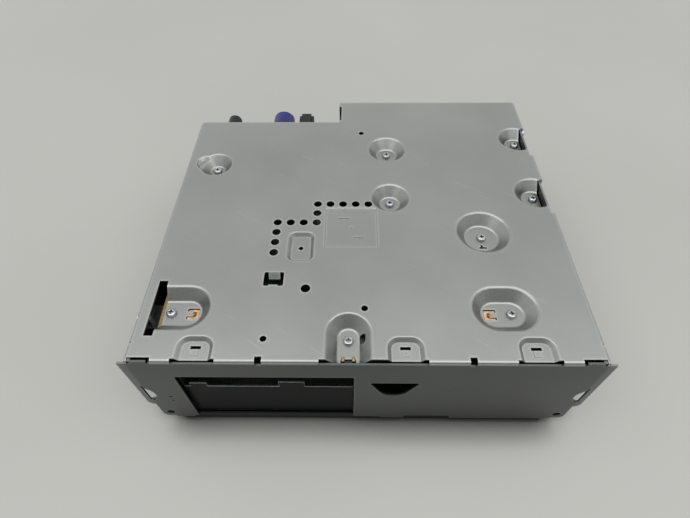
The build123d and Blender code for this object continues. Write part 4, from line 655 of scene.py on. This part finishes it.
# Fittings of the lid: six low screws with six-lobed sockets, a bright damping sheet stuck round the
# spindle, the spindle's own cap, and the felt of the breather hole.
lid_low, lid_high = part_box("disk_lid")
hub_low, hub_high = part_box("disk_hub")
spindle = (hub_low + hub_high) / 2
head_radius = 1.7 * mm
head_crown_radius = 1.4 * mm
head_side = 0.2 * mm
head_crown = 0.5 * mm
head_height = 0.55 * mm
lobed_radius = 0.95 * mm
lobe_depth = 0.12 * mm
socket_floor = 0.15 * mm
socket_taper = 0.8
lid_screw_profile = [
    (head_radius, 0),
    (head_radius, head_side),
    (head_crown_radius, head_crown),
    (lobed_radius, head_height),
    (lobed_radius * socket_taper, socket_floor),
    (0, socket_floor),
]
lid_screw = lathe("lid_screw", lid_screw_profile)
for vertex in lid_screw.vertices:
    reach = math.hypot(vertex.co.x, vertex.co.y)
    if 0 < reach < (lobed_radius + head_crown_radius) / 2:
        lobe = 1 + lobe_depth / lobed_radius * math.cos(6 * math.atan2(vertex.co.y, vertex.co.x))
        vertex.co.x *= lobe
        vertex.co.y *= lobe
screw_inset = 3.6 * mm
lid_screw_rows = (lid_low.y + screw_inset, (lid_low.y + lid_high.y) / 2, lid_high.y - screw_inset)
lid_screw_places = [
    Vector((x, y, lid_high.z))
    for x in (lid_low.x + screw_inset, lid_high.x - screw_inset)
    for y in lid_screw_rows
]
lid_screws = join_meshes("lid_screws", [(lid_screw, place) for place in lid_screw_places])
new_piece("lid_screws", lid_screws, "drive", "plain_steel", plated_steel)


def rounded_outline(points, radius, steps=6):
    """The (x, y) corners with each one rounded off."""
    outline = []
    for i, corner in enumerate(points):
        corner = Vector(corner)
        before = (Vector(points[i - 1]) - corner).normalized() * radius
        after = (Vector(points[(i + 1) % len(points)]) - corner).normalized() * radius
        for step in range(steps + 1):
            t = step / steps
            outline.append(corner + before * (1 - t) ** 2 + after * t**2)
    return outline


def pierced_sheet(name, outline, low, high, centre, radius, bevel):
    """A flat sheet of that outline between two heights, with a round hole and soft upper edges."""
    form = bmesh.new()
    turns = [-2 * math.pi * i / round_sides for i in range(round_sides)]
    hole = [(centre.x + radius * math.cos(a), centre.y + radius * math.sin(a)) for a in turns]
    edges = []
    for loop in (outline, hole):
        corners = [form.verts.new((p[0], p[1], low)) for p in loop]
        edges += [form.edges.new((corners[i - 1], corners[i])) for i in range(len(corners))]
    bmesh.ops.triangle_fill(form, edges=edges, use_beauty=True)
    raised = bmesh.ops.extrude_face_region(form, geom=list(form.faces))
    risen = [part for part in raised["geom"] if isinstance(part, bmesh.types.BMVert)]
    bmesh.ops.translate(form, verts=risen, vec=(0, 0, high - low))
    bmesh.ops.recalc_face_normals(form, faces=form.faces)
    upper = set(risen)
    rim = [
        edge
        for edge in form.edges
        if all(v in upper for v in edge.verts) and edge.calc_face_angle(0) > 1
    ]
    bmesh.ops.bevel(form, geom=rim, offset=bevel, segments=2, affect="EDGES")
    mesh = bpy.data.meshes.new(name)
    form.to_mesh(mesh)
    form.free()
    return mesh


sheet_inset = 6 * mm
sheet_thickness = 0.3 * mm
sheet_front = 34 * mm
sheet_cut_length = 16 * mm
sheet_cut_width = 18 * mm
sheet_corner_radius = 4 * mm
sheet_hole_radius = 7.5 * mm
sheet_edge = 0.1 * mm
sheet_corners = [
    (lid_low.x + sheet_inset, lid_low.y + sheet_front),
    (lid_high.x - sheet_inset, lid_low.y + sheet_front),
    (lid_high.x - sheet_inset, lid_high.y - sheet_cut_length),
    (lid_high.x - sheet_cut_width, lid_high.y - sheet_inset),
    (lid_low.x + sheet_cut_width, lid_high.y - sheet_inset),
    (lid_low.x + sheet_inset, lid_high.y - sheet_cut_length),
]
damping_sheet = pierced_sheet(
    "lid_damping_sheet",
    rounded_outline(sheet_corners, sheet_corner_radius),
    lid_high.z,
    lid_high.z + sheet_thickness,
    spindle,
    sheet_hole_radius,
    sheet_edge,
)
new_piece("lid_damping_sheet", damping_sheet, "drive", "drive_lid", bare_aluminium)

cap_radius = 5.5 * mm
cap_height = 0.5 * mm
cap_round = 0.3 * mm
cap_recess_radius = 1.8 * mm
cap_recess_height = 0.2 * mm
cap_profile = [
    (cap_radius, 0),
    (cap_radius, cap_round),
    (cap_radius - cap_round, cap_height),
    (cap_recess_radius, cap_height),
    (cap_recess_radius - cap_recess_height, cap_recess_height),
    (0, cap_recess_height),
]
spindle_cap = lathe("spindle_cap", cap_profile)
spindle_cap.transform(Matrix.Translation((spindle.x, spindle.y, lid_high.z)))
new_piece("spindle_cap", spindle_cap, "drive", "drive_lid", plated_steel)

felt, tree, shader, place = start_material("pressed felt, white", Roughness=0.95, Sheen_Weight=0.3)
fibres = add_node(tree, "TexNoise", {"Vector": place, "Scale": per_metre(0.3), "Detail": 4})
colour = add_node(tree, "ValToRGB", {"Fac": fibres}, stops=((0.3, "#A9A69E"), (0.7, "#C9C7C0")))
relief = add_node(tree, "Bump", {"Height": fibres, "Distance": 0.05 * mm})
set_sockets(shader, {"Base Color": colour, "Normal": relief})
felt_radius = 2.6 * mm
felt_side = 0.25 * mm
felt_height = 0.4 * mm
felt_round = 0.3 * mm
felt_from_side = 12 * mm
felt_from_front = 22 * mm
felt_profile = [
    (felt_radius, 0),
    (felt_radius, felt_side),
    (felt_radius - felt_round, felt_height),
    (0, felt_height),
]
breather = lathe("lid_breather", felt_profile)
felt_place = (lid_high.x - felt_from_side, lid_low.y + felt_from_front, lid_high.z)
breather.transform(Matrix.Translation(felt_place))
new_piece("lid_breather", breather, "drive", "damper_rubber", felt)


# Disk: aluminium, plated with nickel and polished to a mirror, with a thin film on it. The eye sees the
# room in it, faintly ringed.
mirror, tree, shader, place = start_material("polished nickel plate", Metallic=1.0)
centred = add_node(tree, "Mapping", {"Vector": place, "Location": (-spindle.x, -spindle.y, 0)})
# The film's rings are far too fine to see, and are drawn 2 mm apart: a wave's pitch is 0.31 of its cell
ringed = {"Vector": centred, "Scale": per_metre(6.3), "Distortion": 0.4}
rings = add_node(tree, "TexWave", ringed, wave_type="RINGS", rings_direction="Z").outputs["Fac"]
colour = add_node(tree, "ValToRGB", {"Fac": rings}, stops=((0.0, "#C2C4C8"), (1.0, "#CCCED1")))
gloss = add_node(tree, "MapRange", {"Value": rings, "To Min": 0.03, "To Max": 0.06})
set_sockets(shader, {"Base Color": colour, "Roughness": gloss})
dress(mirror, "disk_platter")


# Disk hub and head arm: aluminium, machined all over and left bare. The eye sees the fine arcs of the
# milling cutter.
machined, tree, shader, place = start_material("machined aluminium", Metallic=1.0)
milled = {"Vector": place, "Scale": per_metre(2.5), "Distortion": 2.0, "Detail": 2}
cutter = add_node(tree, "TexWave", milled, wave_type="RINGS", rings_direction="Z").outputs["Fac"]
colour = add_node(tree, "ValToRGB", {"Fac": cutter}, stops=((0.0, "#B2B4B6"), (1.0, "#CDCFD0")))
gloss = add_node(tree, "MapRange", {"Value": cutter, "To Min": 0.18, "To Max": 0.32})
relief = add_node(tree, "Bump", {"Height": cutter, "Distance": 0.003 * mm})
set_sockets(shader, {"Base Color": colour, "Roughness": gloss, "Normal": relief})
dress(machined, "disk_hub", "head_arm")


# Thermal pad between the processor and the pressed square of the cover: filled silicone, soft and matt,
# grey-blue with the filler's specks.
silicone, tree, shader, place = start_material("silicone pad, filled", Roughness=0.8, IOR=1.43)
specks = add_node(tree, "TexVoronoi", {"Vector": place, "Scale": per_metre(0.4)})
colour = add_node(tree, "ValToRGB", {"Fac": specks}, stops=((0.1, "#8C99A6"), (0.6, "#6E7C8A")))
relief = add_node(tree, "Bump", {"Height": specks, "Distance": 0.02 * mm})
set_sockets(shader, {"Base Color": colour, "Normal": relief})
dress(silicone, "thermal_pad")


# Tuner in its can, soldered to the underside of the main board: tin-plated steel, dull silver with a
# faint spangle and flow marks.
tinned, tree, shader, place = start_material("tin-plated steel", Metallic=1.0)
spangle = add_node(tree, "TexVoronoi", {"Vector": place, "Scale": per_metre(2.5)}).outputs["Color"]
crystal = add_node(tree, "SeparateColor", {"Color": spangle}).outputs["Red"]
colour = add_node(tree, "ValToRGB", {"Fac": crystal}, stops=((0.0, "#ADABA4"), (1.0, "#BFBDB7")))
gloss = add_node(tree, "MapRange", {"Value": crystal, "To Min": 0.3, "To Max": 0.42})
flow_marks = add_node(tree, "TexNoise", {"Vector": place, "Scale": per_metre(1.5), "Detail": 3})
relief = add_node(tree, "Bump", {"Height": flow_marks, "Distance": 0.01 * mm})
set_sockets(shader, {"Base Color": colour, "Roughness": gloss, "Normal": relief})
dress(tinned, "tuner_can")


# Two ground pads of the main board that show in the windows of the front dimples: rolled copper, bare,
# browned by air in patches.
copper, tree, shader, place = start_material("rolled copper, bare", Metallic=0.85)
browned = add_node(tree, "TexNoise", {"Vector": place, "Scale": per_metre(3), "Detail": 4})
colour = add_node(tree, "ValToRGB", {"Fac": browned}, stops=((0.38, "#BC8A66"), (0.62, "#E6C0A0")))
gloss = add_node(tree, "MapRange", {"Value": browned, "To Min": 0.46, "To Max": 0.3})
relief = add_node(tree, "Bump", {"Height": browned, "Distance": 0.01 * mm})
set_sockets(shader, {"Base Color": colour, "Roughness": gloss, "Normal": relief})
dress(copper, "ground_contacts")


# Sprung blades, one on each ground pad, which press on the cover's tabs: bent from thin phosphor bronze
# strip, browned by age.
bronze, tree, shader, place = start_material("phosphor bronze strip, browned", Metallic=1.0)
browning = add_node(tree, "TexNoise", {"Vector": place, "Scale": per_metre(0.8), "Detail": 3})
colour = add_node(tree, "ValToRGB", {"Fac": browning}, stops=((0.35, "#4E4526"), (0.65, "#857348")))
gloss = add_node(tree, "MapRange", {"Value": browning, "To Min": 0.4, "To Max": 0.28})
relief = add_node(tree, "Bump", {"Height": browning, "Distance": 0.005 * mm})
set_sockets(shader, {"Base Color": colour, "Roughness": gloss, "Normal": relief})

pad_low, pad_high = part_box("ground_contacts")
pad_size = pad_high.y - pad_low.y
blade_from_edge = 0.6 * pad_size
blade_length = 2.1 * mm
blade_width = 1.1 * mm
blade_rise = 0.7 * mm
blade_thickness = 0.15 * mm
blade_steps = 8
blade_form = bmesh.new()
blade_rows = []
for step in range(blade_steps + 1):
    t = step / blade_steps
    crown = blade_rise * math.sin(math.pi * t)
    corners = [
        (x, blade_length * (t - 0.5), crown + z)
        for x, z in (
            (-blade_width / 2, 0),
            (blade_width / 2, 0),
            (blade_width / 2, blade_thickness),
            (-blade_width / 2, blade_thickness),
        )
    ]
    blade_rows.append([blade_form.verts.new(corner) for corner in corners])
for row, after in zip(blade_rows, blade_rows[1:]):
    for i in range(4):
        blade_form.faces.new((row[i], row[(i + 1) % 4], after[(i + 1) % 4], after[i]))
blade_form.faces.new(blade_rows[0])
blade_form.faces.new(blade_rows[-1])
bmesh.ops.recalc_face_normals(blade_form, faces=blade_form.faces)
blade_mesh = bpy.data.meshes.new("contact_blade")
blade_form.to_mesh(blade_mesh)
blade_form.free()
blade_places = [
    Vector((x, (pad_low.y + pad_high.y) / 2, pad_high.z))
    for x in (pad_low.x + blade_from_edge, pad_high.x - blade_from_edge)
]
blades = join_meshes("contact_blades", [(blade_mesh, place) for place in blade_places])
new_piece("contact_blades", blades, "case", "brass_pin", bronze)


# Blue aerial jack: the same moulded polyamide as the black one, coloured through and a shade glossier, so
# that the installer can tell the two aerials apart.
blue_polyamide = moulded_polyamide("moulded polyamide, blue", "#1B1D60", "#292B78", 0.24)
dress(blue_polyamide, "blue_jack")


# Top cover: the same steel sheet as the case, pressed, pierced and folded in one tool. It is drawn a lighter
# grey than the case as painted light, with soft clouds, and a pale line round each pressing as painted
# highlight.
cover_sheet_painted_light = galvanised_sheet("galvanised steel, cover, painted light", "#8B8D8A", "#989A97", 0.35, "#D6D8D6")
dress(cover_sheet_painted_light, "top_cover")
